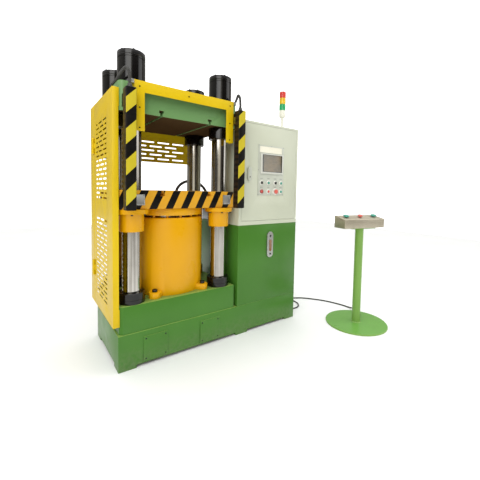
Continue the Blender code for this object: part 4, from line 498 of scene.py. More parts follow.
def metal(title, colour, shade, rough, spread, stretch, grain, mark=0.2):
    """Bare metal with a grain that runs along the axis that is stretched least."""
    material, node, shader, place = start(title)
    along_tool = node("Mapping", {"Vector": place, "Scale": stretch}, "Vector")
    tool_lines = lumps(node, along_tool, grain, 0.0, 1.0, 3)
    film = lumps(node, place, 0.286, 0.0, 0.5, 5)
    scored = node("Math", {0: tool_lines, 1: mark}, 0, operation="MULTIPLY")
    base, polish = colour, tool_lines
    for cover in (film, scored):
        base = node("Mix", {0: cover, 6: base, 7: shade}, 2, data_type="RGBA")
    for operation, second in (("ADD", film), ("MULTIPLY", spread), ("ADD", rough)):
        polish = node("Math", {0: polish, 1: second}, 0, operation=operation)
    bump = node("Bump", {"Height": tool_lines, "Distance": 0.0001, "Strength": 0.18}, "Normal")
    feed(shader, Base_Color=base, Metallic=1.0, Roughness=polish, Normal=bump)
    return material


# a dark mirror with upright streaks
LOOK["hard_chrome"] = metal("ground_hard_chrome", "D6D3CC", "6B655C", 0.06, 0.07, (1, 1, 0.02), 0.0143,
                            0.75)
# grey and silky, in lines across the piece
LOOK["machined_steel"] = metal("milled_steel", "9A9C9C", "6E7072", 0.28, 0.14, (0.06, 1, 1), 0.00385)
# paler than steel, with the finest lines
LOOK["brushed_aluminium"] = metal("brushed_aluminium", "C3C4C0", "A2A39F", 0.3, 0.14, (0.05, 1, 1), 0.00333)
# a warm grey sheet with a dull, cloudy shine
LOOK["box_steel"] = metal("brushed_box_steel", "C9C1AE", "A79E8A", 0.42, 0.12, (0.3, 1, 1), 0.00625)
# pale and faintly spangled
zinc = metal("zinc_plated_steel", "C9CAC4", "9C9E98", 0.26, 0.16, (1, 1, 1), 0.00833)
print("bare metals: chrome, milled and brushed steel, aluminium, zinc")

# %% [markdown]
# Buttons, lenses, sheaths and seals are moulded. Plastic takes the grain of its mould, about half a
# millimetre, which is drawn here at 1 mm so that it shows. Rubber is duller and a little dusty. The signal
# lenses are clear coloured plastic over a lamp that is switched off, so they are deep in colour and shiny.

# %% Moulded plastics and rubber
MOULD_GRAIN = 0.001


def moulded(title, colour, shade, rough, dust=0.12, coat=0.0):
    """Moulded plastic or rubber: fine mould grain, a drifting tone and a little settled dust."""
    material, node, shader, place = start(title)
    tone = lumps(node, place, 0.05, 0.0, 0.5, 4)
    speck = lumps(node, place, 0.00556, 0.0, dust, 5)
    base = colour
    for cover, over in ((tone, shade), (speck, "B9B4A6")):
        base = node("Mix", {0: cover, 6: base, 7: over}, 2, data_type="RGBA")
    feed(shader, Base_Color=base, Coat_Weight=coat, Coat_Roughness=0.1, IOR=1.46,
         Normal=relief(node, place, MOULD_GRAIN, 0.0002, 0.15),
         Roughness=lumps(node, place, 0.025, rough - 0.04, rough + 0.08, 3))
    return material


for slot, title, colour, shade, rough, coat in (
    ("black_plastic", "black_moulded_plastic", "17181A", "222326", 0.36, 0.1),
    ("red_plastic", "red_moulded_plastic", "DB5A4E", "B93A30", 0.3, 0.3),
    ("green_plastic", "green_moulded_plastic", "1F9C86", "15806C", 0.3, 0.3),
    ("red_lens", "red_lens_plastic", "E23A30", "CC2A24", 0.2, 0.4),
    ("amber_lens", "amber_lens_plastic", "F4CC1C", "E6BA10", 0.2, 0.4),
    ("green_lens", "green_lens_plastic", "00B870", "00A462", 0.2, 0.4),
    ("cream_plastic", "cream_moulded_plastic", "F3F2E6", "E8E6D8", 0.34, 0.2),
    ("rubber", "black_rubber_sheath", "0D0D0E", "161617", 0.42, 0.0),
    ("packing_rubber", "nitrile_packing", "141414", "1F1E1D", 0.44, 0.0),
):
    LOOK[slot] = moulded(title, colour, shade, rough, coat=coat)
grey_conduit = moulded("dark_corrugated_plastic", "1E1F20", "2A2B2C", 0.42)
oil_glass = moulded("brown_oil_behind_glass", "8C5F3A", "70482A", 0.12, dust=0.03, coat=0.6)
white_bezel = moulded("white_moulded_plastic", "F1F1EA", "E2E2DA", 0.34, coat=0.2)
dark_red = moulded("dark_red_moulded_plastic", "9E2A30", "84222A", 0.3, coat=0.2)
grey_frame = moulded("pale_grey_screen_frame", "CFD1C8", "C4C6BE", 0.34, coat=0.2)
grey_legend = moulded("engraved_grey_legend", "9FA39B", "8F938B", 0.4, dust=0.05)
pale_label = moulded("blank_cream_label", "F0EDDB", "E6E2CC", 0.4, dust=0.05)
print(len(LOOK), "finishes so far")

# %% [markdown]
# A CAD node whose shape is right stays in the scene and only gets its finish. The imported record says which
# material slot each node has, so one loop dresses all of them, and the pieces below then replace the
# nodes that deserve more shape. The floor is matt studio vinyl, which keeps the shadows soft and pale.

# %% Finishes on the CAD nodes
SLOT_OF = {part["node"]: part["material_slot"] for part in frame["record"]["subparts"]}
for name, thing in frame["nodes"].items():
    thing.data.materials.clear()
    thing.data.materials.append(LOOK[SLOT_OF[name]])
for made in (cable, hose):
    made.data.materials.append(LOOK["rubber"])
for made in conduits:
    made.data.materials.append(grey_conduit)
print("dressed", len(SLOT_OF), "nodes and four cords")

material, node, shader, place = start("pale_studio_vinyl")
drift = lumps(node, place, 0.909, 0.0, 1.0, 4)
sheet = node("Mix", {0: drift, 6: "F4F5F5", 7: "EFF0F0"}, 2, data_type="RGBA")
feed(shader, Base_Color=sheet, Roughness=lumps(node, place, 0.2, 0.5, 0.62),
     Normal=relief(node, place, 0.00625, 0.0002, 0.06))
floor.data.materials.append(material)

# %% [markdown]
# New pieces are modelled as by hand: a primitive, edit mode, and Blender's own operators. These helpers
# keep the calls short. An operator acts on all that is selected, so each one first selects only what it
# works on, by the place or the normal of the faces.

# %% Small tools for modelling


def hold(made):
    """Makes this the only selected object, and the active one."""
    bpy.ops.object.select_all(action="DESELECT")
    made.select_set(True)
    bpy.context.view_layer.objects.active = made


def pick(made, wanted):
    """Goes into edit mode with only the wanted faces selected."""
    hold(made)
    bpy.context.tool_settings.mesh_select_mode = (False, False, True)
    bpy.ops.object.mode_set(mode="EDIT")
    bpy.ops.mesh.select_all(action="DESELECT")
    bpy.ops.object.mode_set(mode="OBJECT")
    for face in made.data.polygons:
        face.select = wanted(face)
    bpy.ops.object.mode_set(mode="EDIT")


MERGE = 0.00002


def settle(made, edge=0.0, segments=2, angle=35):
    """Merges doubles, turns the faces outwards, rounds the sharp edges and smooths the rest."""
    hold(made)
    bpy.ops.object.mode_set(mode="EDIT")
    bpy.ops.mesh.select_all(action="SELECT")
    bpy.ops.mesh.remove_doubles(threshold=MERGE)
    bpy.ops.mesh.normals_make_consistent(inside=False)
    bpy.ops.object.mode_set(mode="OBJECT")
    if edge:
        bevel = made.modifiers.new("rounded_edges", "BEVEL")
        bevel.width, bevel.segments, bevel.angle_limit = edge, segments, math.radians(30)
        bpy.ops.object.modifier_apply(modifier=bevel.name)
    bpy.ops.object.shade_smooth_by_angle(angle=math.radians(angle))
    return made


def piece(made, name, slot, body="frame", instead=(), look=None):
    """Names a finished piece, gives it its finish, and says what it rides on and stands for."""
    made.name = name
    made.data.materials.clear()
    made.data.materials.append(look or LOOK[slot])
    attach(made, body)
    if instead:
        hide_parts(*instead)
    print(name, "has", len(made.data.polygons), "faces")
    return made


def step_front(made, *steps):
    """Insets the front face once for each border and depth, so that it gets a rim or a recess."""
    pick(made, lambda face: face.normal.y < -0.9)
    for border, depth in steps:
        bpy.ops.mesh.inset(thickness=border, depth=depth)
    bpy.ops.object.mode_set(mode="OBJECT")


def dressed(node, edge, segments=2, look=None):
    """A merged copy of a CAD node with its sharp edges rounded, which stands for the node."""
    made = bpy.data.objects.new(node + "_copy", frame["nodes"][node].data.copy())
    bpy.context.scene.collection.objects.link(made)
    hold(made)
    bpy.ops.mesh.customdata_custom_splitnormals_clear()
    bpy.ops.object.mode_set(mode="EDIT")
    bpy.ops.mesh.select_all(action="SELECT")
    bpy.ops.mesh.remove_doubles(threshold=MERGE)
    bpy.ops.mesh.tris_convert_to_quads(face_threshold=math.radians(1), shape_threshold=math.radians(180))
    bpy.ops.object.mode_set(mode="OBJECT")
    settle(made, edge, segments)
    body = frame["nodes"][node]["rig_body"]
    return piece(made, node + "_finished", SLOT_OF[node], body, (node,), look)


print("tools ready: hold, pick, settle, piece, step_front, dressed")

# %% [markdown]
# The large parts are plate and box: the real ones are welded and folded from sheet, so no edge on them is
# quite sharp. Their shapes come from the CAD, and the press is read by the light on its edges, so each
# is copied, its triangles are joined into whole faces, and its edges get a small round. A welded base is
# softer (3 mm) than a folded cabinet (1.5 mm).

# %% Plate and sheet with rounded edges
OWN_LOOK = {
    "striped_post_right": right_post_look, "control_plate": panel_look, "door_lock": panel_look,
    "touch_screen": grey_frame,
}
for node, edge in (
    ("base_frame", 0.003), ("crown", 0.004), ("access_cover_left", 0.0015), ("access_cover_right", 0.0015),
    ("platen", 0.002), ("striped_post_left", 0.0012), ("striped_post_right", 0.0012),
    ("oil_tank", 0.002), ("tank_lid", 0.001), ("cabinet_shell", 0.0015), ("cabinet_door", 0.002),
    ("side_guard", 0.0006), ("rear_guard", 0.0006), ("control_plate", 0.0004),
    ("touch_screen", 0.001), ("door_lock", 0.0012), ("pump_motor", 0.001), ("pump", 0.001),
    ("valve_block", 0.0015), ("breather", 0.001), ("control_box", 0.0015), ("signal_base", 0.0008),
):
    dressed(node, edge, look=OWN_LOOK.get(node))

# %% [markdown]
# Everything round on a press is turned on a lathe: columns, nuts, bushings, cylinder, lenses and buttons.
# Blender's spin does the same. A single point is extruded from corner to corner of the profile, a half
# section in radius and height, and the line is spun once round the z axis. Heights in a profile are
# measured from the piece's own foot, and the finished piece is then moved to its place.

# %% The lathe


def turned(profile, steps=64, angle=35):
    """A solid of revolution round the z axis, from the (radius, height) corners of its half section."""
    bpy.ops.object.select_all(action="DESELECT")
    bpy.context.tool_settings.mesh_select_mode = (True, False, False)
    bpy.ops.mesh.primitive_plane_add(size=0.001)
    made = bpy.context.object
    bpy.ops.object.mode_set(mode="EDIT")
    bpy.ops.mesh.merge(type="CENTER")
    bpy.ops.transform.translate(value=(profile[0][0], 0, profile[0][1]))
    for (r0, z0), (r1, z1) in zip(profile, profile[1:]):
        bpy.ops.mesh.extrude_region_move(TRANSFORM_OT_translate={"value": (r1 - r0, 0, z1 - z0)})
    bpy.ops.mesh.select_all(action="SELECT")
    bpy.ops.mesh.spin(steps=steps, angle=2 * math.pi, center=(0, 0, 0), axis=(0, 0, 1))
    bpy.ops.object.mode_set(mode="OBJECT")
    return settle(made, angle=angle)


def moved(made, x, y, z=0.0):
    """Moves a mesh to a drawing point, while its object stays at the origin."""
    made.data.transform(Matrix.Translation(at(x, y, z)))
    return made


def repeated(model, places, turn=None):
    """One piece of copies of a model, each moved to its place, and turned if a turn is given."""
    copies = []
    for place in places:
        copy = model.copy()
        copy.data = model.data.copy()
        copy.data.transform(Matrix.Translation(place) @ (turn or Matrix()))
        bpy.context.scene.collection.objects.link(copy)
        copies.append(copy)
    bpy.data.objects.remove(model)
    bpy.ops.object.select_all(action="DESELECT")
    for copy in copies:
        copy.select_set(True)
    bpy.context.view_layer.objects.active = copies[0]
    if len(copies) > 1:
        bpy.ops.object.join()
    return bpy.context.object


def circle(middle, radius, z, degrees):
    """Points of the frame on a level circle round a point of the drawing, one at each angle."""
    turns = [math.radians(d) for d in degrees]
    return [at(middle[0] + radius * math.cos(t), middle[1] + radius * math.sin(t), z) for t in turns]


FORWARD = Matrix.Rotation(math.radians(90), 4, "X")
print("lathe ready; FORWARD turns a piece's top to the front of the press")

# %% [markdown]
# The four columns carry the whole force. Each is chromed where the bushings run, and has a black collar
# under the crown and a black nut on the bed. One column is turned and copied to the four corners. Shaft
# and collars are pieces of their own, because chrome and black enamel are different finishes.

# %% Columns and their collars
CORNERS = [f"{row}_{hand}" for row in ("front", "rear") for hand in ("left", "right")]
BED_TOP = box("base_frame")[1].z + GAP
CROWN_BOTTOM = box("crown")[0].z - GAP
COLUMN_RADIUS, COLLAR_HEIGHT, BED_NUT_HEIGHT = 0.06, 0.085, 0.072
shaft_length = CROWN_BOTTOM - COLLAR_HEIGHT - BED_TOP - BED_NUT_HEIGHT - 0.0009
r = COLUMN_RADIUS
SHAFT = [(0, 0), (r - 0.0015, 0), (r, 0.0015), (r, shaft_length), (0, shaft_length)]
FOOT = [(0, 0.0007), (r, 0.0007), (r, BED_NUT_HEIGHT), (0, BED_NUT_HEIGHT)]
COLLAR = [
    (0, 0), (0.08, 0), (0.084, 0.004), (0.084, 0.081), (0.082, COLLAR_HEIGHT), (0, COLLAR_HEIGHT), (0, 0),
]
BED_NUT = [
    (r + 0.0002, 0), (0.085, 0), (0.085, 0.026), (0.0835, 0.027), (0.0835, 0.03), (0.085, 0.031),
    (0.085, 0.068), (0.081, BED_NUT_HEIGHT), (0.064, BED_NUT_HEIGHT), (r + 0.0002, 0.069), (r + 0.0002, 0),
]
for corner in CORNERS:
    x, y = centre(f"column_{corner}")
    for name, profile, steps, foot, slot in (
        ("chromed_column", SHAFT, 96, BED_TOP + BED_NUT_HEIGHT + 0.0002, "hard_chrome"),
        ("column_collar", COLLAR, 64, CROWN_BOTTOM - COLLAR_HEIGHT, "black_enamel"),
        ("column_bed_nut", BED_NUT, 64, BED_TOP, "black_enamel"),
        ("column_foot", FOOT, 64, BED_TOP, "hard_chrome"),
    ):
        made = moved(turned(profile, steps), x, y, foot)
        piece(made, f"{name}_{corner}", slot, instead=(f"column_{corner}",))

# %% [markdown]
# Above the crown each column ends in a tall black nut. Its cap is a lid of its own with a groove under
# it, held by six small screws inside the shiny rim. The nuts are turned; the screws are one turned head,
# copied round the lid.

# %% Column nuts
r, LID_TOP = 0.085, 0.203
NUT = [
    (0, 0), (r, 0), (r, 0.153), (r - 0.003, 0.154), (r - 0.003, 0.158), (r, 0.159), (r, 0.168),
    (r - 0.002, 0.17), (r - 0.002, 0.172), (r, 0.174), (r, 0.196), (r - 0.0015, 0.2), (r - 0.006, LID_TOP),
    (0, LID_TOP),
]
LID_SCREW = [(0, 0), (0.0065, 0), (0.0065, 0.0042), (0.0055, 0.0057), (0.0035, 0.0057), (0.003, 0.0027),
             (0, 0.0027)]
SIXTHS = range(0, 360, 60)
for corner in CORNERS:
    node = f"column_nut_{corner}"
    middle, foot = centre(node), box(node)[0].z
    piece(moved(turned(NUT, 72), *middle, foot), f"glossy_nut_{corner}", "black_enamel", instead=(node,))
    places = circle(middle, 0.07, foot + LID_TOP, [25 + d for d in SIXTHS])
    heads = repeated(turned(LID_SCREW, 20), places)
    piece(heads, f"nut_lid_screws_{corner}", "black_enamel", instead=(node,))

# %% [markdown]
# A bronze-lined bushing runs on each column and is bolted under the platen by its flange. It is sprayed
# amber with the platen. Its flange has six black cap screws, whose heads show from below.

# %% Guide bushings
bore, FLANGE_UNDER, FLANGE_TOP = COLUMN_RADIUS + 0.0004, 0.114, 0.144
BUSHING = [
    (bore, 0), (0.0745, 0), (0.0775, 0.003), (0.0775, 0.11), (0.0795, FLANGE_UNDER), (0.103, FLANGE_UNDER),
    (0.105, 0.116), (0.105, 0.142), (0.103, FLANGE_TOP), (bore, FLANGE_TOP), (bore, 0),
]
FLANGE_SCREW = [(0, 0), (0.0075, 0), (0.0075, -0.0074), (0.0068, -0.0084), (0.0042, -0.0084),
                (0.0042, -0.0044), (0, -0.0044)]
for corner in CORNERS:
    node = f"guide_bushing_{corner}"
    middle, foot = centre(node), box(node)[0].z
    made = moved(turned(BUSHING, 72), *middle, foot)
    piece(made, f"amber_bushing_{corner}", "cylinder_amber", "table", (node,))
    places = circle(middle, 0.0915, foot + FLANGE_UNDER, [15 + d for d in SIXTHS])
    heads = repeated(turned(FLANGE_SCREW, 20), places)
    piece(heads, f"bushing_screws_{corner}", "black_enamel", "table", (node,))

# %% [markdown]
# The main cylinder is a heavy steel barrel on the bed, with four lugs that are bolted down. It keeps its
# CAD solid, port boss and all, with its edges rounded, and gets the black cap screws on its lugs. So does
# the ring at its mouth, with its studs and nuts. The ram is turned.

# %% Cylinder, gland and ram
dressed("main_cylinder", 0.003)
LUG_SCREW = [(0, 0), (0.018, 0), (0.018, 0.015), (0.0165, 0.017), (0.01, 0.017), (0.01, 0.008), (0, 0.008)]
LUG_THICKNESS, LUG_CIRCLE = 0.04, 0.295
heads = repeated(turned(LUG_SCREW, 28),
                 circle(centre("ram"), LUG_CIRCLE, BED_TOP + LUG_THICKNESS, (52, 128, 232, 308)))
piece(heads, "lug_screws", "black_enamel", instead=("main_cylinder",))

low, high = box("ram")
r, length = 0.18, high.z - low.z
RAM = [(0, 0), (r - 0.005, 0), (r, 0.005), (r, length), (0, length)]
piece(moved(turned(RAM, 96), *centre("ram"), low.z), "chromed_ram", "hard_chrome", "table", ("ram",))
dressed("gland_ring", 0.0015)
print("cylinder group done")

# %% [markdown]
# The signal light is a stack of three coloured lenses on a pole. The lenses are moulded with fine ribs
# round them, which spread the lamp's light, and each stands on a thin dark joint. The ribs are in the
# turned profile, 4 mm apart.

# %% Signal light
RIBS, RIB_PITCH, NECK, RIB, VALLEY = 12, 0.004, 0.0265, 0.0285, 0.0274
LENS = [(0, 0.0001), (NECK, 0.0001), (NECK, 0.0027)]
for i in range(RIBS):
    z = 0.0037 + i * RIB_PITCH
    LENS += [(RIB, z), (RIB, z + 0.0022), (VALLEY, z + 0.0028), (VALLEY, z + 0.0034)]
LENS += [(NECK, 0.0525), (NECK, 0.0549), (0, 0.0549)]
for colour in ("green", "amber", "red"):
    node = f"signal_lens_{colour}"
    lens = moved(turned(LENS, 48, angle=25), *centre("signal_base"), box(node)[0].z)
    piece(lens, f"ribbed_lens_{colour}", f"{colour}_lens", instead=(node,))

# %% [markdown]
# The yellow trim before the crown is one folded sheet: a front in the shape of an upside-down U, with
# returns at its top and its outer sides only, so its inner edges look thin. It starts as a box whose
# back and floor are deleted. Bisecting the front gives the U's inner edges, the middle is deleted, and
# Solidify gives the sheet its 3 mm.

# %% Trim frame


def block(low, high):
    """A box between two drawing points, with its place in its mesh."""
    low, high = at(*low), at(*high)
    bpy.ops.object.select_all(action="DESELECT")
    bpy.ops.mesh.primitive_cube_add(size=1, location=(low + high) / 2)
    made = bpy.context.object
    made.scale = high - low
    bpy.ops.object.transform_apply(location=True, rotation=True, scale=True)
    return made


def cut(made, place, normal):
    """Cuts the whole mesh along a plane, and keeps both sides."""
    pick(made, lambda face: True)
    bpy.ops.mesh.bisect(plane_co=place, plane_no=normal)
    bpy.ops.object.mode_set(mode="OBJECT")


def drop(made, wanted):
    """Deletes the wanted faces."""
    pick(made, wanted)
    bpy.ops.mesh.delete(type="FACE")
    bpy.ops.object.mode_set(mode="OBJECT")


def thicken(made, thickness):
    """Gives a sheet its thickness, inwards, with a Solidify modifier."""
    hold(made)
    sheet = made.modifiers.new("sheet", "SOLIDIFY")
    sheet.thickness, sheet.offset, sheet.use_even_offset = thickness, -1.0, True
    bpy.ops.object.modifier_apply(modifier=sheet.name)


TRIM_LOW, TRIM_HIGH = box("trim_frame")
LEG_WIDTH, BAND_HEIGHT, SHEET = 0.062, 0.068, 0.003
inner_left = at(TRIM_LOW.x + LEG_WIDTH, 0, 0)
inner_right = at(TRIM_HIGH.x - LEG_WIDTH, 0, 0)
band = at(0, 0, TRIM_HIGH.z - BAND_HEIGHT)


def in_opening(face):
    """Whether a face of the trim's front lies between its legs and under its band."""
    spot = face.center
    return face.normal.y < -0.9 and inner_left.x < spot.x < inner_right.x and spot.z < band.z


trim = block(TRIM_LOW, TRIM_HIGH)
drop(trim, lambda face: face.normal.y > 0.9 or face.normal.z < -0.9)
cut(trim, inner_left, (1, 0, 0))
cut(trim, inner_right, (1, 0, 0))
cut(trim, band, (0, 0, 1))
drop(trim, in_opening)
thicken(trim, SHEET)
settle(trim, 0.0009)
piece(trim, "folded_trim_frame", "guard_yellow", instead=("trim_frame",))

# %% [markdown]
# Cap screws and button heads hold the sheet metal. Each is one turned head with a socket, copied to its
# places. The trim has seven dark heads: three down each leg and one in the middle of the band.

# %% Screw heads
SUNK = 0.0002


def screws(name, places, radius, proud, slot, body="frame"):
    """Button heads with a socket, one at each place, that stand proud of a surface by a little."""
    head = turned([
        (0, 0), (radius, 0), (radius, 0.35 * proud), (0.75 * radius, proud), (0.42 * radius, proud),
        (0.42 * radius, 0.4 * proud), (0, 0.4 * proud),
    ], 20)
    return piece(repeated(head, [at(*place) for place in places], FORWARD), name, slot, body)


legs = (TRIM_LOW.x + LEG_WIDTH / 2, TRIM_HIGH.x - LEG_WIDTH / 2)
places = [(x, TRIM_LOW.y - SUNK, z) for x in legs for z in (1.765, 1.64, 1.52)]
places.append((centre("ram")[0], TRIM_LOW.y - SUNK, 1.766))
screws("trim_screws", places, 0.0048, 0.0028, "black_enamel")

# %% [markdown]
# A machined plate with a step round its middle stands at each end of the platen's striped front, held by
# four screws. The tee slots in the platen's top, like the crown's, keep their CAD shape.

# %% End plates of the platen
PLATEN_FRONT = box("platen")[0].y
END_HALF_WIDTH, END_LOW, END_HIGH, END_THICKNESS = 0.033, 1.046, 1.115, 0.003
end_middle = (END_LOW + END_HIGH) / 2
for hand, x in (("left", 0.140), ("right", 0.7965)):
    plate = block((x - END_HALF_WIDTH, PLATEN_FRONT - END_THICKNESS, END_LOW),
                  (x + END_HALF_WIDTH, PLATEN_FRONT, END_HIGH))
    step_front(plate, (0.004, 0), (0.0006, -0.0008))
    settle(plate, 0.0008)
    piece(plate, f"platen_end_plate_{hand}", "brushed_aluminium", "table")
    places = [(x + i, PLATEN_FRONT - 0.0022, end_middle + k) for i in (-0.026, 0.026)
              for k in (-0.028, 0.028)]
    screws(f"platen_plate_screws_{hand}", places, 0.0034, 0.0018, "machined_steel", "table")

# %% [markdown]
# The operator's panel is a satin plate with a touch screen, two rows of selectors and buttons, and a red
# mushroom for emergencies. Over each control is a small grey plate. The screen is glass over a dim
# display, so its finish has a dark rim, a few paler areas and a strong gloss.

# %% The screen's finish
PLATE_FRONT = -GAP - 0.002
SCREEN_LEFT, SCREEN_RIGHT, SCREEN_LOW, SCREEN_HIGH = 1.119, 1.332, 1.311, 1.453
display_look, node, shader, place = start("dim_display_glass")
axes = node("SeparateXYZ", {0: place}).outputs
left = at(SCREEN_LEFT, 0, 0).x
across = node("MapRange", {0: axes["X"], 1: left, 2: left + SCREEN_RIGHT - SCREEN_LEFT}, 0)
rise = node("MapRange", {0: axes["Z"], 1: SCREEN_LOW, 2: SCREEN_HIGH}, 0)
fields = node("TexBrick", {
    "Vector": node("CombineXYZ", {0: across, 1: rise}, 0), "Scale": 4.0, "Mortar Size": 0.03,
    "Color1": "6F6C5F", "Color2": "595A50", "Mortar": "4A493F",
}, "Color")
off_middle = []
for share, less in ((across, 0.0), (rise, 0.02)):
    for operation, second in (("SUBTRACT", 0.5), ("ABSOLUTE", 0), ("SUBTRACT", less)):
        share = node("Math", {0: share, 1: second}, 0, operation=operation)
    off_middle.append(share)
furthest = node("Math", {0: off_middle[0], 1: off_middle[1]}, 0, operation="MAXIMUM")
rim = node("Math", {0: furthest, 1: 0.455}, 0, operation="GREATER_THAN")
glow = fields
for cover, over in ((lumps(node, place, 0.0714, 0.0, 0.5), "8F7A5C"), (rim, "23241D")):
    glow = node("Mix", {0: cover, 6: glow, 7: over}, 2, data_type="RGBA")
feed(shader, Base_Color=glow, Roughness=lumps(node, place, 0.0333, 0.1, 0.18), Coat_Weight=0.6,
     Coat_Roughness=0.05, IOR=1.5)

# %% Screen, plates and labels
display = block((SCREEN_LEFT, -0.0112, SCREEN_LOW), (SCREEN_RIGHT, -0.0095, SCREEN_HIGH))
step_front(display, (0.0015, -0.0004))
settle(display, 0.0003)
piece(display, "screen_display", "black_plastic", "door", look=display_look)


def label(name, x, z, width, height, proud, look):
    """A blank plate with a small step round its middle, glued to the panel."""
    half, rise = width / 2, height / 2
    made = block((x - half, PLATE_FRONT - proud, z - rise), (x + half, PLATE_FRONT + SUNK, z + rise))
    step_front(made, (0.0012, 0), (0.0004, -0.0004))
    settle(made, 0.0004)
    return piece(made, name, "cream_plastic", "door", look=look)


def front(node):
    """The x and z of the middle of a CAD node, seen from the front."""
    low, high = box(node)
    return (low.x + high.x) / 2, (low.z + high.z) / 2


UPPER_ROW = ("selector_left", "button_start", "selector_right", "button_heat")
LOWER_ROW = ("button_lower", "button_stop", "emergency_stop", "button_raise")
label("panel_title_plate", 1.213, 1.4925, 0.240, 0.049, 0.0013, pale_label)
for row, nodes in (("upper", UPPER_ROW), ("lower", LOWER_ROW)):
    for i, node in enumerate(nodes):
        x, z = front(node)
        label(f"legend_{row}_{i + 1}", x, z + 0.035, 0.026, 0.007, 0.0008, grey_legend)
PANEL_LOW, PANEL_HIGH = box("control_plate")
MARGIN, SCREW_MIDDLE = 0.0055, 1.324
left, right = PANEL_LOW.x + MARGIN, PANEL_HIGH.x - MARGIN
places = [(x, PLATE_FRONT, z) for x in (left, (left + right) / 2, right)
          for z in (PANEL_LOW.z + MARGIN, PANEL_HIGH.z - MARGIN)]
places += [(x, PLATE_FRONT, SCREW_MIDDLE) for x in (left, right)]
screws("panel_screws", places, 0.0032, 0.0016, "machined_steel", "door")

# %% [markdown]
# Each push button is a moulded cap in a white moulded bezel, with a groove between the two. A selector is
# a cap with a raised grip across it. One bezel is turned and copied for the whole panel, and the caps ride
# on their own bodies, so they can be pressed.

# %% Buttons and selectors
BEZEL = [
    (0.0121, 0), (0.0195, 0), (0.0195, 0.0012), (0.0188, 0.0018), (0.0158, 0.0018), (0.0148, 0.0028),
    (0.0136, 0.006), (0.0124, 0.006), (0.0121, 0),
]
COLLAR = [(0.0125, 0), (0.0285, 0), (0.0285, 0.0014), (0.0278, 0.002), (0.0125, 0.002), (0.0125, 0)]
RAISED_RIM = [(0.0122, 0), (0.0168, 0), (0.0168, 0.0062), (0.0155, 0.0078), (0.0122, 0.0078), (0.0122, 0)]
KEYHOLE = [(0, 0), (0.0055, 0), (0.0055, 0.0006), (0.0045, 0.001), (0, 0.001)]
small_controls = [node for node in UPPER_ROW + LOWER_ROW if node != "emergency_stop"]
for name, profile, steps, nodes, back, slot, look in (
    ("button_bezels", BEZEL, 40, small_controls, 0.0003, "cream_plastic", white_bezel),
    ("stop_collar", COLLAR, 48, ["emergency_stop"], 0.0003, "cream_plastic", white_bezel),
    ("lower_button_rim", RAISED_RIM, 40, ["button_lower"], 0.0022, "red_plastic", dark_red),
):
    places = [at(x, PLATE_FRONT - back, z) for x, z in map(front, nodes)]
    piece(repeated(turned(profile, steps), places, FORWARD), name, slot, "door", look=look)
LOCK_LOW, LOCK_HIGH = box("door_lock")
hole = at((LOCK_LOW.x + LOCK_HIGH.x) / 2, LOCK_LOW.y + SUNK, LOCK_LOW.z + 0.031)
piece(repeated(turned(KEYHOLE, 24), [hole], FORWARD), "lock_keyhole", "black_plastic", "lock")
for node in small_controls:
    dressed(node, 0.0007)
for node in ("emergency_stop", "palm_button_left", "palm_button_right", "stand_stop"):
    dressed(node, 0.0018, segments=3)
print("controls done")

# %% [markdown]
# A hose or conduit never ends bare. The oil hose is crimped in steel ferrules, the conduits are screwed
# into dark plastic glands, and the stand's cable leaves each gland through a tapered rubber boot that
# keeps it from kinking. All are turned round the line of the cord that they hold.

# %% Ferrules, glands and boots
UP, DOWN, TO_RIGHT = Vector((0, 0, 1)), Vector((0, 0, -1)), Vector((1, 0, 0))


def along(profile, place, way):
    """A turned fitting whose axis points along a way, with its foot just off a place."""
    made = turned(profile, 40)
    foot = at(*(Vector(place) + way * SUNK))
    made.data.transform(Matrix.Translation(foot) @ way.to_track_quat("Z", "Y").to_matrix().to_4x4())
    return made


def ferrule(bore, outer, length):
    """The half section of a crimped ferrule with three grooves."""
    profile = [(bore, 0.0), (outer, 0.0), (outer, length * 0.2)]
    for share in (0.3, 0.5, 0.7):
        profile += [(outer, length * (share - 0.04)), (outer - 0.001, length * (share - 0.02)),
                    (outer - 0.001, length * (share + 0.02)), (outer, length * (share + 0.04))]
    return profile + [(outer, length), (bore, length), (bore, 0.0)]


hose_bore, FERRULE_RADIUS, LOWER_FERRULE = HOSE / 2 + 0.0001, 0.0165, 0.028
piece(along(ferrule(hose_bore, FERRULE_RADIUS, 0.03), hose_points[0], UP), "hose_ferrule_top",
      "machined_steel", look=zinc)
lower_end = Vector(hose_points[-1]) + UP * (LOWER_FERRULE + 2 * SUNK)
piece(along(ferrule(hose_bore, FERRULE_RADIUS, LOWER_FERRULE), lower_end, DOWN), "hose_ferrule_bottom",
      "machined_steel", look=zinc)
BOOT = [(0.0062, 0.0), (0.0105, 0.0), (0.0105, 0.004), (0.0086, 0.006), (0.0074, 0.024), (0.0074, 0.026),
        (0.0062, 0.026), (0.0062, 0.0)]
base_boot = Vector(cable_points[0]) + TO_RIGHT * (GAP - SUNK)
piece(along(BOOT, base_boot, TO_RIGHT), "cable_boot_base", "rubber")
piece(along(BOOT, gland + GLAND_WAY * SUNK, GLAND_WAY), "cable_boot_stand", "rubber")
CLAMP = [(0.0092, 0.0), (0.0145, 0.0), (0.0145, 0.01), (0.0128, 0.013), (0.0128, 0.02), (0.0108, 0.023),
         (0.0092, 0.023), (0.0092, 0.0)]
for carrier, end in (("conduit", 0), ("cabinet", -1)):
    for hand, points in (("left", left_conduit_points), ("right", right_conduit_points)):
        piece(along(CLAMP, points[end], UP), f"{carrier}_gland_{hand}", "black_plastic", look=grey_conduit)

# %% [markdown]
# The last fasteners and joints: the screws of the covers on the base, the zinc plates that tie the trim's
# top corners to the posts, and the fillet where the stand's pole is welded to its disc. A fillet weld is
# turned as a small concave ring; the real one is ground and painted over.

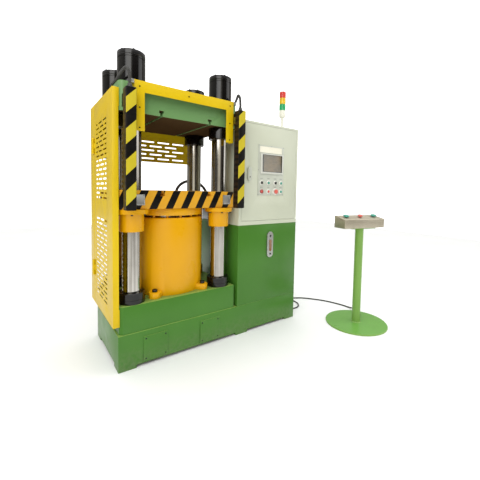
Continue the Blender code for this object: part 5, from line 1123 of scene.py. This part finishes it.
# %% Fasteners, ties and weld
COVER_SCREW = 0.066
places = []
for hand in ("left", "right"):
    node = f"access_cover_{hand}"
    x, z = front(node)
    for i in (-COVER_SCREW, COVER_SCREW):
        places += [(x + i, box(node)[0].y + SUNK, z + k) for k in (-COVER_SCREW, COVER_SCREW)]
screws("cover_screws", places, 0.0052, 0.0016, "black_enamel")
for hand, low, high in (("left", 0.060, 0.083), ("right", 0.7955, 0.816)):
    tie = block((low, TRIM_LOW.y - 0.003, 1.776), (high, -0.006, 1.799))
    step_front(tie, (0.004, 0), (0.0008, -0.0012))
    settle(tie, 0.0012)
    piece(tie, f"zinc_tie_{hand}", "machined_steel", look=zinc)
DISC_TOP = 0.012 + SUNK
WELD = [(0.0352, 0), (0.0435, 0), (0.0415, 0.0012), (0.0385, 0.003), (0.0365, 0.0056), (0.0352, 0.0088),
        (0.0352, 0)]
piece(moved(turned(WELD, 64), POLE.x, POLE.y, DISC_TOP), "pole_fillet_weld", "base_green", look=stand_look)
dressed("control_stand", 0.001, look=stand_look)

# %% [markdown]
# The level gauge on the tank's front is a bought fitting: a plated body with round ends, screwed on by two
# dark hollow screws that let the oil through, with a long sight glass between them. The oil behind the
# glass makes it brown. Both round-ended shapes are a cylinder whose upper half is moved up.

# %% Level gauge
ROUND = 48


def round_ended(low, high, radius, back, front):
    """A plate with round ends, standing upright before the tank, from a low to a high end."""
    middle = at(gauge_x, (back + front) / 2, low + radius)
    bpy.ops.object.select_all(action="DESELECT")
    bpy.ops.mesh.primitive_cylinder_add(
        vertices=ROUND, radius=radius, depth=back - front, location=middle,
        rotation=(math.radians(90), math.pi / ROUND, 0))
    made = bpy.context.object
    bpy.ops.object.transform_apply(location=True, rotation=True, scale=True)
    for corner in made.data.vertices:
        if corner.co.z > middle.z:
            corner.co.z += high - low - 2 * radius
    return made


GAUGE_LOW, GAUGE_HIGH = box("oil_gauge")
gauge_x = (GAUGE_LOW.x + GAUGE_HIGH.x) / 2
body = round_ended(GAUGE_LOW.z, GAUGE_HIGH.z, 0.0325, -0.0004, -0.0130)
step_front(body, (0.004, 0), (0.0015, 0.0014))
settle(body, 0.0008)
piece(body, "gauge_body", "brushed_aluminium", instead=("oil_gauge",))
glass = round_ended(GAUGE_LOW.z + 0.052, GAUGE_HIGH.z - 0.066, 0.0135, -0.0140, -0.0159)
step_front(glass, (0.0015, -0.0006))
settle(glass, 0.0003)
piece(glass, "gauge_glass", "black_plastic", look=oil_glass)
places = [(gauge_x, -0.0142, z) for z in (GAUGE_LOW.z + 0.030, GAUGE_HIGH.z - 0.036)]
screws("gauge_screws", places, 0.0095, 0.0017, "black_enamel")
print("level gauge at", round(gauge_x, 4))
